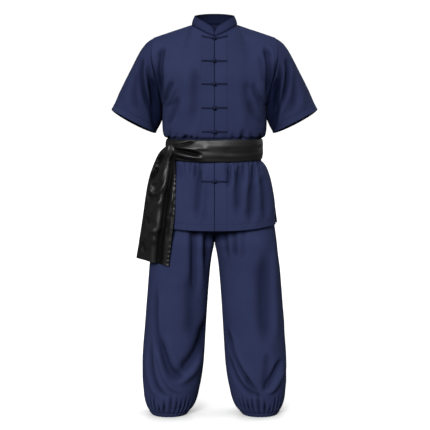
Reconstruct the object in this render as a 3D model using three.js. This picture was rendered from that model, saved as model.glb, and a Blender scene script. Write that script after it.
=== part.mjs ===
// A tai chi uniform, worn and empty: short-sleeved jacket, trousers gathered at the ankle, satin sash.
// Millimetres, +Z up, front towards -Y, the wearer's left towards +X.
// Heights (h) in the tables are above the floor that the ankle cuffs touch.
// At the end the whole garment is lowered, so that the origin is the centre of the neck opening.
import * as THREE from "three";

// Cloth and seams
const CLOTH = 1.6; // jacket and trouser cloth, as a wall
const SATIN = 2.4; // the sash, folded lengthwise
const SEAM = 0.4; // clear gap between two pieces along a seam
const REST = 0.5; // clear gap under a piece that lies on another
const NECK_H = 1392; // height of the neck opening's centre

// Heights of the jacket
const HEM_H = 680;
const HEM_SIDE_LIFT = 8;
const VENT_TOP_H = 770;
const VENT_SPREAD = 5;
const SASH_LOW_H = 918;
const SASH_HIGH_H = 997;
const ARMPIT_H = 1112;

// Corners of the neckline and of the shoulder seam, as x, y, h
const NECK_SIDE = [86, 0, 1396];
const SHOULDER_TIP = [214, 0, 1352];
const NECK_FRONT = [0, -72, 1354];
const NECK_BACK = [0, 64, 1404];
const NECK_SHARE = 0.5; // the share of a panel's columns that ends at the neckline

// Roundness of a section: 1 is an ellipse, and less is squarer
const BODY_ROUND = 0.84;
const LEG_ROUND = 0.9;

// Columns and rows of the cloth grids
const FRONT_COLUMNS = 12; // centre front to side
const BACK_COLUMNS = 12; // side to centre back
const YOKE_ROWS = 11; // armpit to shoulder
const SLEEVE_ROWS = 7;
const LEG_COLUMNS = 28;
const GATHER_COLUMNS = 56;
const GATHER_DEPTH = 3; // every second column of the gathers goes in by this
const CUFF_EDGE_DEPTH = 1.2; // and by less at the cuff's lower edge
const SASH_WRAP_ROWS = 4;

const NAVY = new THREE.MeshStandardMaterial({ color: 0x2a3163, roughness: 0.72, metalness: 0 });
const NAVY_TRIM = new THREE.MeshStandardMaterial({ color: 0x20264f, roughness: 0.6, metalness: 0 });
const BLACK_SATIN = new THREE.MeshStandardMaterial({ color: 0x101012, roughness: 0.3, metalness: 0 });

const point = (x, y, z) => new THREE.Vector3(x, y, z);
const clamp = THREE.MathUtils.clamp;
const mix = THREE.MathUtils.lerp;
const rise = (from, to, value) => THREE.MathUtils.smoothstep(value, from, to);
const steps = (count) => Array.from({ length: count + 1 }, (_, i) => i / count);

// A table with named columns. The first column is the place, and the others are read off a smooth curve
// through the rows.
function table(columns, rows) {
  const names = columns.split(" ");
  const slope = (r, c) => {
    if (r === 0 || r === rows.length - 1) return 0;
    const before = (rows[r][c] - rows[r - 1][c]) / (rows[r][0] - rows[r - 1][0]);
    const after = (rows[r + 1][c] - rows[r][c]) / (rows[r + 1][0] - rows[r][0]);
    return before * after <= 0 ? 0 : (2 * before * after) / (before + after);
  };
  return (place) => {
    const x = clamp(place, rows[0][0], rows.at(-1)[0]);
    const r = Math.min(rows.findLastIndex((row) => row[0] <= x), rows.length - 2);
    const span = rows[r + 1][0] - rows[r][0];
    const t = (x - rows[r][0]) / span;
    const read = {};
    names.slice(1).forEach((name, k) => {
      const c = k + 1;
      const [a, b] = [rows[r][c], rows[r + 1][c]];
      const [da, db] = [slope(r, c) * span, slope(r + 1, c) * span];
      read[name] = a + t * da + t * t * (3 * (b - a) - 2 * da - db) + t * t * t * (2 * (a - b) + da + db);
    });
    return read;
  };
}

// Sections of the jacket below the armpit: half its width, and its depth in front and behind
const JACKET = table("h half front back", [
  [672, 224, 133, 124],
  [767, 216, 130, 121],
  [853, 200.5, 123, 114],
  [897, 185, 116, 107],
  [912, 174, 110, 101],
  [918, 167, 107, 98],
  [997, 167, 107, 98],
  [1003, 171, 109, 100],
  [1012, 180, 116, 104],
  [1030, 184.5, 121, 108],
  [1064, 186, 123.5, 111],
  [1112, 187, 124, 113],
]);

// Centre front and centre back above the armpit, by the share of the way up
const CENTRE_FRONT = table("share y", [
  [0, -124],
  [0.3, -121],
  [0.64, -108],
  [0.84, -90],
  [1, -72],
]);
const CENTRE_BACK = table("share y", [
  [0, 113],
  [0.3, 119],
  [0.62, 112],
  [0.84, 90],
  [1, 64],
]);

// The armhole seam from the underarm to the tip of the shoulder, in front and behind
const ARMHOLE = table("share x front back h", [
  [0, 187, 0, 0, 1112],
  [0.135, 188, -40, 38, 1128],
  [0.31, 197, -68, 64, 1174],
  [0.51, 213, -76, 74, 1234],
  [0.7, 221, -66, 64, 1288],
  [0.875, 219, -34, 34, 1332],
  [1, 214, 0, 0, 1352],
]);

// The sleeve between armhole and hem: how far its top stands out, and its underside towards the body
const SLEEVE = table("along top under full", [
  [0, 0, 0, 0],
  [0.1, 7, -2, 2],
  [0.22, 13, -4, 5],
  [0.5, 9, -7, 6],
  [0.75, 5, -5, 3],
  [1, 0, 0, 0],
]);
const SLEEVE_HEM_OUTER = [365.5, 1100];
const SLEEVE_HEM_INNER = [207.5, 1018];
const SLEEVE_HEM_HALF_DEPTH = 66;
const SLEEVE_HEM_BACK_DROP = 10;

// Sections of one trouser leg: its inner and outer edge and its depth in front and behind
const LEG = table("h inner outer front back", [
  [0, 101.5, 227.5, 64, 64],
  [5, 99, 230, 66, 66],
  [17, 88, 238, 73, 73],
  [33, 75, 246, 81, 81],
  [48, 67.5, 251, 86, 87],
  [77, 58.5, 256.5, 92, 93],
  [136, 46, 261, 98, 99],
  [196, 38.5, 260.5, 100, 101],
  [314, 31, 252.5, 101, 102],
  [432, 23.5, 243, 103, 106],
  [549, 12.5, 233, 108, 113],
  [617, 0.2, 225, 112, 117],
  [700, 0.2, 213, 115, 115],
  [800, 0.2, 197, 112, 106],
  [880, 0.2, 175, 105, 98],
  [905, 0.2, 164.9, 104.9, 95.9],
  [942, 0.2, 164.9, 104.9, 95.9],
]);
const CROTCH_H = 617;
const CROTCH_CURVE_H = 95;
const LEG_TOP_H = 941;
const WAISTBAND = [941.6, 979];
const CUFF_H = 33;
const CUFF_HEIGHTS = [0, 8, CUFF_H];

// The hanging end of the sash: the two edges of the cloth at each height
const TAIL = table("h left right", [
  [548, -280, -156],
  [628, -269, -153],
  [700, -257, -149],
  [743, -251, -147],
  [800, -243, -144],
  [857, -232, -143],
  [897, -219, -142],
  [922, -208, -142],
  [947, -190, -145],
]);
const TAIL_BOTTOM = { left: 575, right: 549 };
const TAIL_TOP_H = 947.3; // just under the knot
const TAIL_SWING = 5; // how far its lower part hangs clear of the vent's edge
const TAIL_GATHERED = 0.92; // the share of the folds' depth that the knot takes up
const TAIL_FACING = 30; // degrees that the hanging cloth is turned from the front towards the right
const TAIL_COLUMNS = 12;
const TAIL_ROWS = 16;

// Folds that show from a step away, each through three points of the view. Width is its spread,
// depth is how far the cloth goes in, and a ridge has a minus depth.
const FOLD_COLUMNS = "x1 h1 x2 h2 x3 h3 width depth".split(" ");
const folds = (rows) => rows.map((row) => Object.fromEntries(FOLD_COLUMNS.map((name, i) => [name, row[i]])));
const JACKET_FRONT_FOLDS = folds([
  [-172, 1316, -190, 1250, -180, 1132, 15, 9],
  [172, 1316, 190, 1250, 180, 1132, 15, 9],
  [-138, 1198, -162, 1157, -173, 1112, 13, 6],
  [-97, 1207, -103, 1160, -141, 1077, 15, -5],
  [96, 1188, 106, 1129, 146, 1059, 15, 6],
  [136, 1198, 148, 1150, 176, 1122, 13, 5],
  [120, 1181, 131, 1132, 159, 1091, 12, -4],
  [-120, 914, -120, 890, -120, 852, 12, 4],
  [-50, 914, -56, 813, -65, 700, 15, 6],
  [-24, 830, -26, 767, -30, 690, 14, 4],
  [52, 914, 51, 872, 47, 820, 12, 5],
  [85, 914, 83, 823, 80, 720, 15, 7],
  [140, 914, 139, 883, 134, 834, 12, 5],
  [138, 850, 131, 785, 124, 700, 17, 5],
]);
const JACKET_BACK_FOLDS = folds([
  [-176, 1310, -188, 1245, -178, 1135, 15, 8],
  [176, 1310, 188, 1245, 178, 1135, 15, 8],
  [-120, 1215, -128, 1150, -152, 1070, 16, 6],
  [104, 1205, 118, 1140, 148, 1060, 16, 6],
  [-34, 1150, -28, 1090, -36, 1030, 17, 4],
  [-112, 914, -110, 840, -104, 730, 15, 6],
  [-40, 914, -44, 830, -52, 715, 15, 5],
  [26, 914, 24, 850, 30, 760, 15, 5],
  [92, 914, 96, 830, 92, 705, 15, 7],
]);
const SLEEVE_FRONT_FOLDS = folds([
  [-246, 1285, -254, 1202, -206, 1066, 14, 8],
  [246, 1285, 252, 1202, 206, 1066, 14, 8],
  [-266, 1237, -284, 1160, -264, 1085, 16, 4],
  [265, 1237, 283, 1160, 264, 1085, 16, 4],
]);
const SLEEVE_BACK_FOLDS = folds([
  [-244, 1280, -250, 1195, -212, 1070, 15, 7],
  [246, 1276, 256, 1190, 220, 1066, 15, 7],
]);
const TROUSER_FRONT_FOLDS = folds([
  [-69, 690, -72, 572, -64, 450, 16, 9],
  [-25, 690, -27, 615, -33, 530, 13, 6],
  [-205, 500, -207, 322, -176, 200, 15, 6],
  [-182, 235, -158, 134, -110, 92, 15, 9],
  [-225, 300, -219, 149, -158, 76, 13, 6],
  [-27, 350, -51, 250, -145, 165, 28, 10],
  [37, 318, 59, 185, 170, 68, 14, 8],
  [53, 240, 77, 123, 166, 66, 12, 6],
  [238, 180, 208, 138, 178, 98, 13, 5],
  [42, 690, 37, 640, 44, 590, 12, 5],
  [68, 690, 68, 636, 73, 580, 12, 5],
  [178, 600, 175, 429, 183, 240, 26, 5],
]);
const TROUSER_BACK_FOLDS = folds([
  [-30, 640, -80, 585, -150, 575, 16, 7],
  [34, 632, 84, 575, 158, 560, 16, 7],
  [-80, 520, -86, 400, -74, 270, 18, 6],
  [96, 500, 90, 380, 104, 250, 18, 6],
  [-200, 420, -206, 290, -170, 150, 15, 6],
  [206, 430, 212, 300, 172, 140, 15, 6],
  [-50, 300, -80, 190, -150, 84, 15, 8],
  [48, 290, 86, 180, 160, 80, 15, 8],
]);

// Folds down the hanging sash end: where each stands, as a share of the width from its left edge, at the
// top and at the bottom, and how far it stands out
const TAIL_FOLDS = [
  { top: 0.1, bottom: 0.02, width: 0.12, out: 5 },
  { top: 0.42, bottom: 0.3, width: 0.13, out: 6 },
  { top: 0.66, bottom: 0.6, width: 0.11, out: 17 },
  { top: 1.0, bottom: 1.0, width: 0.11, out: 14 },
];
// Swags across the sash end under the knot
const TAIL_SWAGS = [
  { h: 822, rise: 60, width: 12, out: 6 },
  { h: 855, rise: 46, width: 10, out: 5 },
];
const TURN_STEP = 0.02; // a short way round the body, for the sash's direction at the knot
const KNOT = { x: -158, h: 962, halfWidth: 18, halfHeight: 14.4, halfDepth: 11 };

// Knotted frogs down the front: half their length is to each side of the centre
const FROG_HEIGHTS = [1345, 1266.8, 1185.9, 1103.3, 1018.4, 851.6];
const FROG_TOP_LIFT = 9; // the ends of the top one rise with the collar
const FROG_END = 48;
const FROG_REST = 0.7; // clear of the panel's flat facets
const LOOP_CORD = 1.6; // radius
const LOOP_APART = 1.95; // half the spacing of its two strands
const LOOP_RING = 6.6; // radius of the loop round the knot
const FROG_SIDES = 5;

// How far a point of the front or back view lies inside the cloth's smooth form
function foldDepth(list, x, h) {
  let total = 0;
  for (const f of list) {
    const legs = [
      [f.x1, f.h1, f.x2, f.h2],
      [f.x2, f.h2, f.x3, f.h3],
    ];
    let nearest = Infinity;
    let share = 0;
    legs.forEach(([ax, ah, bx, bh], k) => {
      const [dx, dh] = [bx - ax, bh - ah];
      const t = clamp(((x - ax) * dx + (h - ah) * dh) / (dx * dx + dh * dh), 0, 1);
      const away = Math.hypot(x - ax - t * dx, h - ah - t * dh);
      if (away < nearest) {
        nearest = away;
        share = (k + t) / 2;
      }
    });
    const fade = rise(0, 0.22, share) * (1 - rise(0.78, 1, share));
    total += f.depth * fade * Math.exp(-((nearest / f.width) ** 2));
  }
  return total;
}

// Triangles between two rows of vertex numbers, which may hold different counts
function stitch(low, high, faces) {
  let [i, j] = [0, 0];
  while (i < low.length - 1 || j < high.length - 1) {
    const lowNext = (i + 1) / (low.length - 1);
    const highNext = (j + 1) / (high.length - 1);
    if (lowNext <= highNext + 1e-9) {
      faces.push([low[i], low[i + 1], high[j]]);
      i += 1;
    } else {
      faces.push([low[i], high[j + 1], high[j]]);
      j += 1;
    }
  }
}

// A closed wall of cloth. The rows are its outer points from low to high, each row from left to right as
// seen from outside. ring says that they close on themselves, and bend may change the normal of a point.
function clothMesh(name, rows, options = {}) {
  const { ring = false, thickness = CLOTH, material = NAVY, bend = null } = options;
  const outer = rows.flat();
  const starts = [];
  rows.reduce((start, row) => (starts.push(start), start + row.length), 0);
  const numbers = rows.map((row, r) => {
    const line = row.map((_, c) => starts[r] + c);
    return ring ? [...line, line[0]] : line;
  });
  const faces = [];
  for (let r = 0; r < rows.length - 1; r += 1) stitch(numbers[r], numbers[r + 1], faces);

  const normals = outer.map(() => point(0, 0, 0));
  for (const [a, b, c] of faces) {
    const across = outer[b].clone().sub(outer[a]).cross(outer[c].clone().sub(outer[a]));
    [a, b, c].forEach((k) => normals[k].add(across));
  }
  normals.forEach((n) => n.normalize());
  if (bend) rows.forEach((row, r) => row.forEach((_, c) => bend(normals[starts[r] + c], r, c)));
  const inner = outer.map((p, k) => p.clone().addScaledVector(normals[k], -thickness));

  const inside = (k) => k + outer.length;
  const all = [...faces, ...faces.map(([a, b, c]) => [inside(a), inside(c), inside(b)])];
  const rim = (a, b) => all.push([b, a, inside(a)], [b, inside(a), inside(b)]);
  const [low, high] = [numbers[0], numbers.at(-1)];
  low.slice(1).forEach((b, k) => rim(low[k], b));
  high.slice(1).forEach((b, k) => rim(b, high[k]));
  if (!ring) {
    numbers.slice(1).forEach((line, r) => {
      rim(line[0], numbers[r][0]);
      rim(numbers[r].at(-1), line.at(-1));
    });
  }
  return meshOf(name, [...outer, ...inner], all, material);
}

function meshOf(name, points, faces, material) {
  const geometry = new THREE.BufferGeometry().setFromPoints(points);
  geometry.setIndex(faces.flat());
  geometry.computeVertexNormals();
  const mesh = new THREE.Mesh(geometry, material);
  mesh.name = name;
  return mesh;
}

const mirrored = (rows) => rows.map((row) => row.map((p) => point(-p.x, p.y, p.z)).reverse());
const signedPower = (value, power) => Math.sign(value) * Math.abs(value) ** power;

// A point of the body's section at a height: turn is 0 at the centre front, 1 at the side, 2 at the back
function sectionPoint(h, turn, out = 0) {
  const s = JACKET(h);
  const angle = (turn * Math.PI) / 2;
  const depth = turn <= 1 ? s.front : s.back;
  const x = (s.half + out) * signedPower(Math.sin(angle), BODY_ROUND);
  const y = -(depth + out) * signedPower(Math.cos(angle), BODY_ROUND);
  return point(x, turn === 1 ? 0 : y, h);
}

// The neckline from centre front (share 0) to the side, or from centre back to the side
function necklinePoint(share, start) {
  const angle = (share * Math.PI) / 2;
  const h = mix(start[2], NECK_SIDE[2], Math.sin(angle) ** 1.3);
  return point(NECK_SIDE[0] * Math.sin(angle), start[1] * Math.cos(angle), h);
}

// The top edge of a panel: its neckline, then its shoulder seam
function topPoint(share, start) {
  if (share <= NECK_SHARE) return necklinePoint(share / NECK_SHARE, start);
  const t = (share - NECK_SHARE) / (1 - NECK_SHARE);
  return point(mix(NECK_SIDE[0], SHOULDER_TIP[0], t), 0, mix(NECK_SIDE[2], SHOULDER_TIP[2], t));
}

function armholePoint(share, face) {
  const a = ARMHOLE(share);
  return point(a.x, a[face], a.h);
}

// Above the armpit a panel spans four edges: armpit section, centre line, armhole and top edge
function yokePoint(across, up, face) {
  const isFront = face === "front";
  const start = isFront ? NECK_FRONT : NECK_BACK;
  const centre = (t) => point(0, (isFront ? CENTRE_FRONT : CENTRE_BACK)(t).y, mix(ARMPIT_H, start[2], t));
  const bottom = (t) => sectionPoint(ARMPIT_H, isFront ? t : 2 - t);
  const top = (t) => topPoint(t, start);
  const edge = (t) => armholePoint(t, face);
  const p = point(0, 0, 0);
  p.addScaledVector(bottom(across), 1 - up).addScaledVector(top(across), up);
  p.addScaledVector(centre(up), 1 - across).addScaledVector(edge(up), across);
  p.addScaledVector(bottom(0), -(1 - across) * (1 - up)).addScaledVector(bottom(1), -across * (1 - up));
  p.addScaledVector(top(0), -(1 - across) * up).addScaledVector(top(1), -across * up);
  return p;
}

// Small puckers where the sash draws the jacket in, above and below it
const PUCKERS = 4; // in each quarter of the body
function puckerDepth(across, h) {
  const above = rise(999, 1008, h) * (1 - rise(1014, 1040, h));
  const below = rise(840, 900, h) * (1 - rise(909, 917, h));
  return (3.2 * above + 2.2 * below) * (0.5 - 0.5 * Math.cos(2 * Math.PI * PUCKERS * across));
}

const LOWER_HEIGHTS = [0, 45, 92, 140, 180, 208, 224, 232, 238, 317, 323, 333, 350, 384, 410];

// The outer points of half a panel, from the centre to the side
function halfPanel(face, columns, side) {
  const isFront = face === "front";
  const list = isFront ? JACKET_FRONT_FOLDS : JACKET_BACK_FOLDS;
  const inwards = isFront ? 1 : -1;
  const crease = (p, across, strength) => {
    const edge = 1 - rise(0.86, 1, across);
    const placket = isFront ? rise(0, 0.12, across) : 1;
    p.y += inwards * foldDepth(list, side * p.x, p.z) * edge * placket * strength;
    return p;
  };
  const low = LOWER_HEIGHTS.map((above) =>
    steps(columns).map((across) => {
      const lift = HEM_SIDE_LIFT * across ** 3 * (1 - rise(0, 90, above));
      const h = HEM_H + above + lift;
      const turn = isFront ? across : 2 - across;
      const open = (1 - rise(HEM_H, VENT_TOP_H, h)) * rise(0.8, 1, across);
      const out = -puckerDepth(across, h) + (isFront ? -VENT_SPREAD * open * 0.4 : VENT_SPREAD * open * 0.6);
      const p = sectionPoint(h, turn, out);
      if (across === 1) p.y -= inwards * (SEAM / 2 + VENT_SPREAD * open);
      const free = 1 - rise(909, 915, h) + rise(1000, 1010, h);
      return crease(p, across, free);
    }),
  );
  const high = steps(YOKE_ROWS).map((up) =>
    steps(columns).map((across) => {
      const p = yokePoint(across, up, face);
      return crease(p, across, 1 - rise(0.9, 1, up));
    }),
  );
  const rows = [...low, ...high];
  rows.forEach((row) => row.forEach((p) => (p.y -= (inwards * SEAM) / 2)));
  return rows;
}

function halves(face, columns) {
  return { left: halfPanel(face, columns, 1), right: halfPanel(face, columns, -1) };
}
const halfFront = halves("front", FRONT_COLUMNS);
const halfBack = halves("back", BACK_COLUMNS);
const leftFrontRows = halfFront.left;
const rightFrontRows = mirrored(halfFront.right);
leftFrontRows.forEach((row) => (row[0].x = SEAM / 2));
rightFrontRows.forEach((row) => (row.at(-1).x = -SEAM / 2));
// Rows of the back run from the wearer's left side to the right
const backRows = halfBack.left.map((row, r) => [
  ...row.map((p) => p.clone()).reverse(),
  ...halfBack.right[r].slice(1).map((p) => point(-p.x, p.y, p.z)),
]);
const yokeStart = LOWER_HEIGHTS.length;

function flatten(normal, axis) {
  normal[axis] = 0;
  normal.normalize();
}

// The hem ring of the sleeve: share 0 is its inner corner and 1 its outer corner
function sleeveHemPoint(share, face) {
  const angle = Math.PI * share;
  const [midX, midH] = [0, 1].map((k) => (SLEEVE_HEM_INNER[k] + SLEEVE_HEM_OUTER[k]) / 2);
  const [halfX, halfH] = [0, 1].map((k) => (SLEEVE_HEM_OUTER[k] - SLEEVE_HEM_INNER[k]) / 2);
  const length = Math.hypot(halfX, halfH);
  const drop = face === "back" ? SLEEVE_HEM_BACK_DROP * Math.sin(angle) : 0;
  const y = (face === "front" ? -1 : 1) * SLEEVE_HEM_HALF_DEPTH * Math.sin(angle);
  const x = midX - halfX * Math.cos(angle) + (drop * halfH) / length;
  return point(x, y, midH - halfH * Math.cos(angle) - (drop * halfX) / length);
}

// A point of the left sleeve: share runs from the underarm to the top, along from the armhole to the hem
function sleevePoint(share, along, face) {
  const from = armholePoint(share, face);
  const to = sleeveHemPoint(share, face);
  const outwards = face === "front" ? -1 : 1;
  if (from.y !== 0) from.y += (outwards * SEAM) / 2;
  const t = Math.max(along, SEAM / from.distanceTo(to));
  const s = SLEEVE(t);
  const top = (1 - Math.cos(Math.PI * share)) / 2;
  const p = from.lerp(to, t);
  p.x += 0.87 * s.top * top ** 2 + s.under * (1 - top) ** 2;
  p.z += 0.5 * s.top * top ** 2;
  p.y += outwards * s.full * Math.sin(Math.PI * share);
  return p;
}

function sleeveRows(side) {
  return steps(SLEEVE_ROWS)
    .reverse()
    .map((along) => {
      const crease = (p, face) => {
        const list = face === "front" ? SLEEVE_FRONT_FOLDS : SLEEVE_BACK_FOLDS;
        p.y += (face === "front" ? 1 : -1) * foldDepth(list, side * p.x, p.z) * rise(0, 0.2, along);
        return p;
      };
      const up = steps(YOKE_ROWS);
      const front = up.map((share) => crease(sleevePoint(share, along, "front"), "front"));
      const back = up.slice(1, -1).reverse();
      return [...front, ...back.map((share) => crease(sleevePoint(share, along, "back"), "back"))];
    });
}

// Where the sleeve turns down over the tip of the shoulder, both walls share one normal along the armhole
function armholeNormal(j, face) {
  const rows = face === "front" ? halfFront.left : halfBack.left;
  const share = j / YOKE_ROWS;
  const row = rows[yokeStart + j];
  const here = row.at(-1);
  const below = rows[yokeStart + Math.max(j - 1, 0)].at(-1);
  const above = rows[yokeStart + Math.min(j + 1, YOKE_ROWS)].at(-1);
  const up = above.clone().sub(below);
  const panel = here.clone().sub(row.at(-2)).cross(up).normalize();
  const sleeve = sleevePoint(share, 1 / SLEEVE_ROWS, face).sub(here).cross(up).normalize();
  return panel.add(sleeve).multiplyScalar(face === "front" ? 1 : -1).normalize();
}

function armholeBend(normal, j, face, side) {
  const shared = armholeNormal(j, face);
  shared.x *= side;
  normal.lerp(shared, rise(0.45, 0.7, j / YOKE_ROWS)).normalize();
  if (j === YOKE_ROWS) flatten(normal, "y");
}

// Edges along a seam keep their wall square to the seam, so that two neighbours stay clear of each other
function panelBend(face, rowCount, sides, centreColumn) {
  return (normal, r, c) => {
    if (c === centreColumn) flatten(normal, "x");
    const onShoulder = r === rowCount - 1 && sides.some(({ column, neck }) => Math.abs(c - column) <= neck);
    if (onShoulder) flatten(normal, "y");
    for (const { column, side } of sides) {
      if (c === column && r < yokeStart) flatten(normal, "y");
      if (c === column && r >= yokeStart) armholeBend(normal, r - yokeStart, face, side);
    }
  };
}

function makeJacketPanels() {
  const frontNeck = FRONT_COLUMNS * (1 - NECK_SHARE);
  const backNeck = BACK_COLUMNS * (1 - NECK_SHARE);
  const count = leftFrontRows.length;
  const leftSide = [{ column: FRONT_COLUMNS, side: 1, neck: frontNeck }];
  const rightSide = [{ column: 0, side: -1, neck: frontNeck }];
  const backSides = [
    { column: 0, side: 1, neck: backNeck },
    { column: 2 * BACK_COLUMNS, side: -1, neck: backNeck },
  ];
  const leftBend = panelBend("front", count, leftSide, 0);
  const rightBend = panelBend("front", count, rightSide, FRONT_COLUMNS);
  const backBend = panelBend("back", count, backSides, -1);
  return [
    clothMesh("jacket_front_left", leftFrontRows, { bend: leftBend }),
    clothMesh("jacket_front_right", rightFrontRows, { bend: rightBend }),
    clothMesh("jacket_back", backRows, { bend: backBend }),
  ];
}

function makeSleeves() {
  const bend = (side) => (normal, r, c) => {
    if (r !== SLEEVE_ROWS) return;
    const place = side > 0 ? c : 2 * YOKE_ROWS - 1 - c;
    const isFront = place <= YOKE_ROWS;
    armholeBend(normal, isFront ? place : 2 * YOKE_ROWS - place, isFront ? "front" : "back", side);
  };
  return [
    clothMesh("sleeve_left", sleeveRows(1), { ring: true, bend: bend(1) }),
    clothMesh("sleeve_right", mirrored(sleeveRows(-1)), { ring: true, bend: bend(-1) }),
  ];
}

// Stand collar, with its two front corners rounded away from each other
const COLLAR = { height: 36, leanIn: 0.36, cornerRadius: 32, lowestShare: 0.12, frontGap: 0.6 };
const COLLAR_HALF_SHARES = [0, 0.25, 0.5, 0.75, 1, 1.5, 2, 3, 4, 5, 6];

function makeCollar() {
  const frontSeats = steps(FRONT_COLUMNS * NECK_SHARE).map((share) => necklinePoint(share, NECK_FRONT));
  const backSeats = steps(BACK_COLUMNS * NECK_SHARE).map((share) => necklinePoint(share, NECK_BACK));
  const between = (seats, place) => {
    const low = Math.min(Math.floor(place), seats.length - 2);
    return seats[low].clone().lerp(seats[low + 1], place - low);
  };
  const left = [
    ...COLLAR_HALF_SHARES.map((place) => between(frontSeats, place)),
    ...backSeats.slice(0, -1).reverse(),
  ];
  const seats = [...left, ...left.slice(0, -1).map((p) => point(-p.x, p.y, p.z)).reverse()];
  seats[0] = point(COLLAR.frontGap, NECK_FRONT[1], NECK_FRONT[2]);
  seats[seats.length - 1] = point(-COLLAR.frontGap, NECK_FRONT[1], NECK_FRONT[2]);
  const fromFront = left.map((_, k) => {
    let length = 0;
    for (let i = 0; i < k; i += 1) length += left[i].distanceTo(left[i + 1]);
    return length;
  });
  const tall = (k) => {
    const near = fromFront[Math.min(k, seats.length - 1 - k)];
    const round = 1 - clamp(near / COLLAR.cornerRadius, 0, 1);
    return COLLAR.height * Math.max(COLLAR.lowestShare, Math.sqrt(1 - round * round));
  };
  const rows = [0, 0.5, 1].map((up) =>
    seats.map((seat, k) => {
      const reach = up * tall(k);
      const inwards = point(-seat.x / NECK_SIDE[0], seat.y / NECK_FRONT[1], 0);
      const direction = inwards.multiplyScalar(COLLAR.leanIn).add(point(0, 0, 1)).normalize();
      return seat.clone().addScaledVector(direction, SEAM + reach);
    }),
  );
  const bend = (normal, r, c) => {
    if (c === 0 || c === seats.length - 1) flatten(normal, "x");
  };
  return clothMesh("collar", rows, { bend });
}

// One trouser leg: q runs from the front edge, round the outer side, to the back edge
function legPoint(h, q) {
  const s = LEG(h);
  const round = 2 * Math.PI * q;
  const [middle, half] = [(s.inner + s.outer) / 2, (s.outer - s.inner) / 2];
  const tubeDepth = q <= 0.5 ? s.front : s.back;
  const tube = point(
    middle - half * signedPower(Math.cos(round), LEG_ROUND),
    -tubeDepth * signedPower(Math.sin(round), LEG_ROUND),
    h,
  );
  const angle = Math.PI * q;
  const shell = point(
    s.inner + (s.outer - s.inner) * signedPower(Math.sin(angle), BODY_ROUND),
    -(q <= 0.5 ? s.front : s.back) * signedPower(Math.cos(angle), BODY_ROUND),
    h,
  );
  return tube.lerp(shell, rise(CROTCH_H, CROTCH_H + CROTCH_CURVE_H, h));
}

const LEG_GATHERED_HEIGHTS = [CUFF_H + REST, 50];
const LEG_HEIGHTS = [
  80, 114, 150, 190, 238, 296, 362, 430, 498, 556, 600, 640, 680, 740, 810, 880, 908, LEG_TOP_H,
];

function legRows(side) {
  const row = (h, columns, gather) =>
    steps(columns).map((q, c) => {
      const p = legPoint(h, q);
      const isFront = q <= 0.5;
      const list = isFront ? TROUSER_FRONT_FOLDS : TROUSER_BACK_FOLDS;
      const seam = rise(0, 0.06, q) * (1 - rise(0.94, 1, q));
      const hidden = 1 - rise(870, 905, h);
      p.y += (isFront ? 1 : -1) * foldDepth(list, side * p.x, h) * seam * hidden;
      const middle = point((LEG(h).inner + LEG(h).outer) / 2, 0, h);
      if (gather && c % 2 === 1) p.lerp(middle, gather / p.distanceTo(middle));
      if (q === 0) p.y = Math.min(p.y, -SEAM / 2);
      if (q === 1) p.y = Math.max(p.y, SEAM / 2);
      return p;
    });
  return [
    row(LEG_GATHERED_HEIGHTS[0], GATHER_COLUMNS, GATHER_DEPTH),
    row(LEG_GATHERED_HEIGHTS[1], GATHER_COLUMNS, GATHER_DEPTH * 0.8),
    ...LEG_HEIGHTS.map((h) => row(h, LEG_COLUMNS, 0)),
  ];
}

function makeTrousers() {
  const squareSeams = (columnsOf) => (normal, r, c) => {
    const last = columnsOf(r);
    const isUpper = r >= 2 && LEG_HEIGHTS[r - 2] > CROTCH_H + CROTCH_CURVE_H * 0.5;
    if (c === 0 || c === last) flatten(normal, isUpper ? "x" : "y");
  };
  const bend = squareSeams((r) => (r < 2 ? GATHER_COLUMNS : LEG_COLUMNS));
  const cuffRows = CUFF_HEIGHTS.map((h) =>
    steps(GATHER_COLUMNS).slice(0, -1).map((q, c) => {
      const p = legPoint(h, q);
      const middle = point((LEG(h).inner + LEG(h).outer) / 2, 0, h);
      const gather = h === 0 ? CUFF_EDGE_DEPTH : GATHER_DEPTH;
      if (c % 2 === 1) p.lerp(middle, gather / p.distanceTo(middle));
      return p;
    }),
  );
  const band = WAISTBAND.map((h) => bodyRing(h, -CLOTH - REST));
  return [
    clothMesh("trouser_leg_left", legRows(1), { bend }),
    clothMesh("trouser_leg_right", mirrored(legRows(-1)), { bend }),
    clothMesh("cuff_left", cuffRows, { ring: true }),
    clothMesh("cuff_right", mirrored(cuffRows), { ring: true }),
    clothMesh("waistband", band, { ring: true }),
  ];
}

// A whole ring round the body, on the same columns as the jacket, some way out from it
function bodyRing(h, out) {
  const half = [
    ...steps(FRONT_COLUMNS).map((turn) => sectionPoint(h, turn, out)),
    ...steps(BACK_COLUMNS).slice(1).map((turn) => sectionPoint(h, 1 + turn, out)),
  ];
  return [...half, ...half.slice(1, -1).map((p) => point(-p.x, p.y, p.z)).reverse()];
}

// Soft ridges along the folded sash, by height
const SASH_ROWS = table("share out", [
  [0, 0],
  [0.25, 1.6],
  [0.5, 0.3],
  [0.75, 1.8],
  [1, 0],
]);

// How far the sash's outer face stands out from the jacket
function sashOut(h) {
  const share = (h - SASH_LOW_H - REST) / (SASH_HIGH_H - SASH_LOW_H - 2 * REST);
  return REST + SATIN + SASH_ROWS(share).out;
}

// How far the jacket and the sash reach in the direction that the hanging end faces, at its near edge
function reachTowardsTail(h) {
  const s = JACKET(h);
  const angle = THREE.MathUtils.degToRad(TAIL_FACING);
  const onSash = sashOut(h) * rise(SASH_LOW_H - 14, SASH_LOW_H - 6, h);
  const nearEdge = -TAIL(h).right;
  const share = nearEdge / (s.half + onSash);
  const forward = (s.front + onSash) * (1 - share ** (2 / BODY_ROUND)) ** (BODY_ROUND / 2);
  const swing = TAIL_SWING * (1 - rise(HEM_H, VENT_TOP_H, h));
  return nearEdge * Math.sin(angle) + forward * Math.cos(angle) + swing;
}

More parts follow.
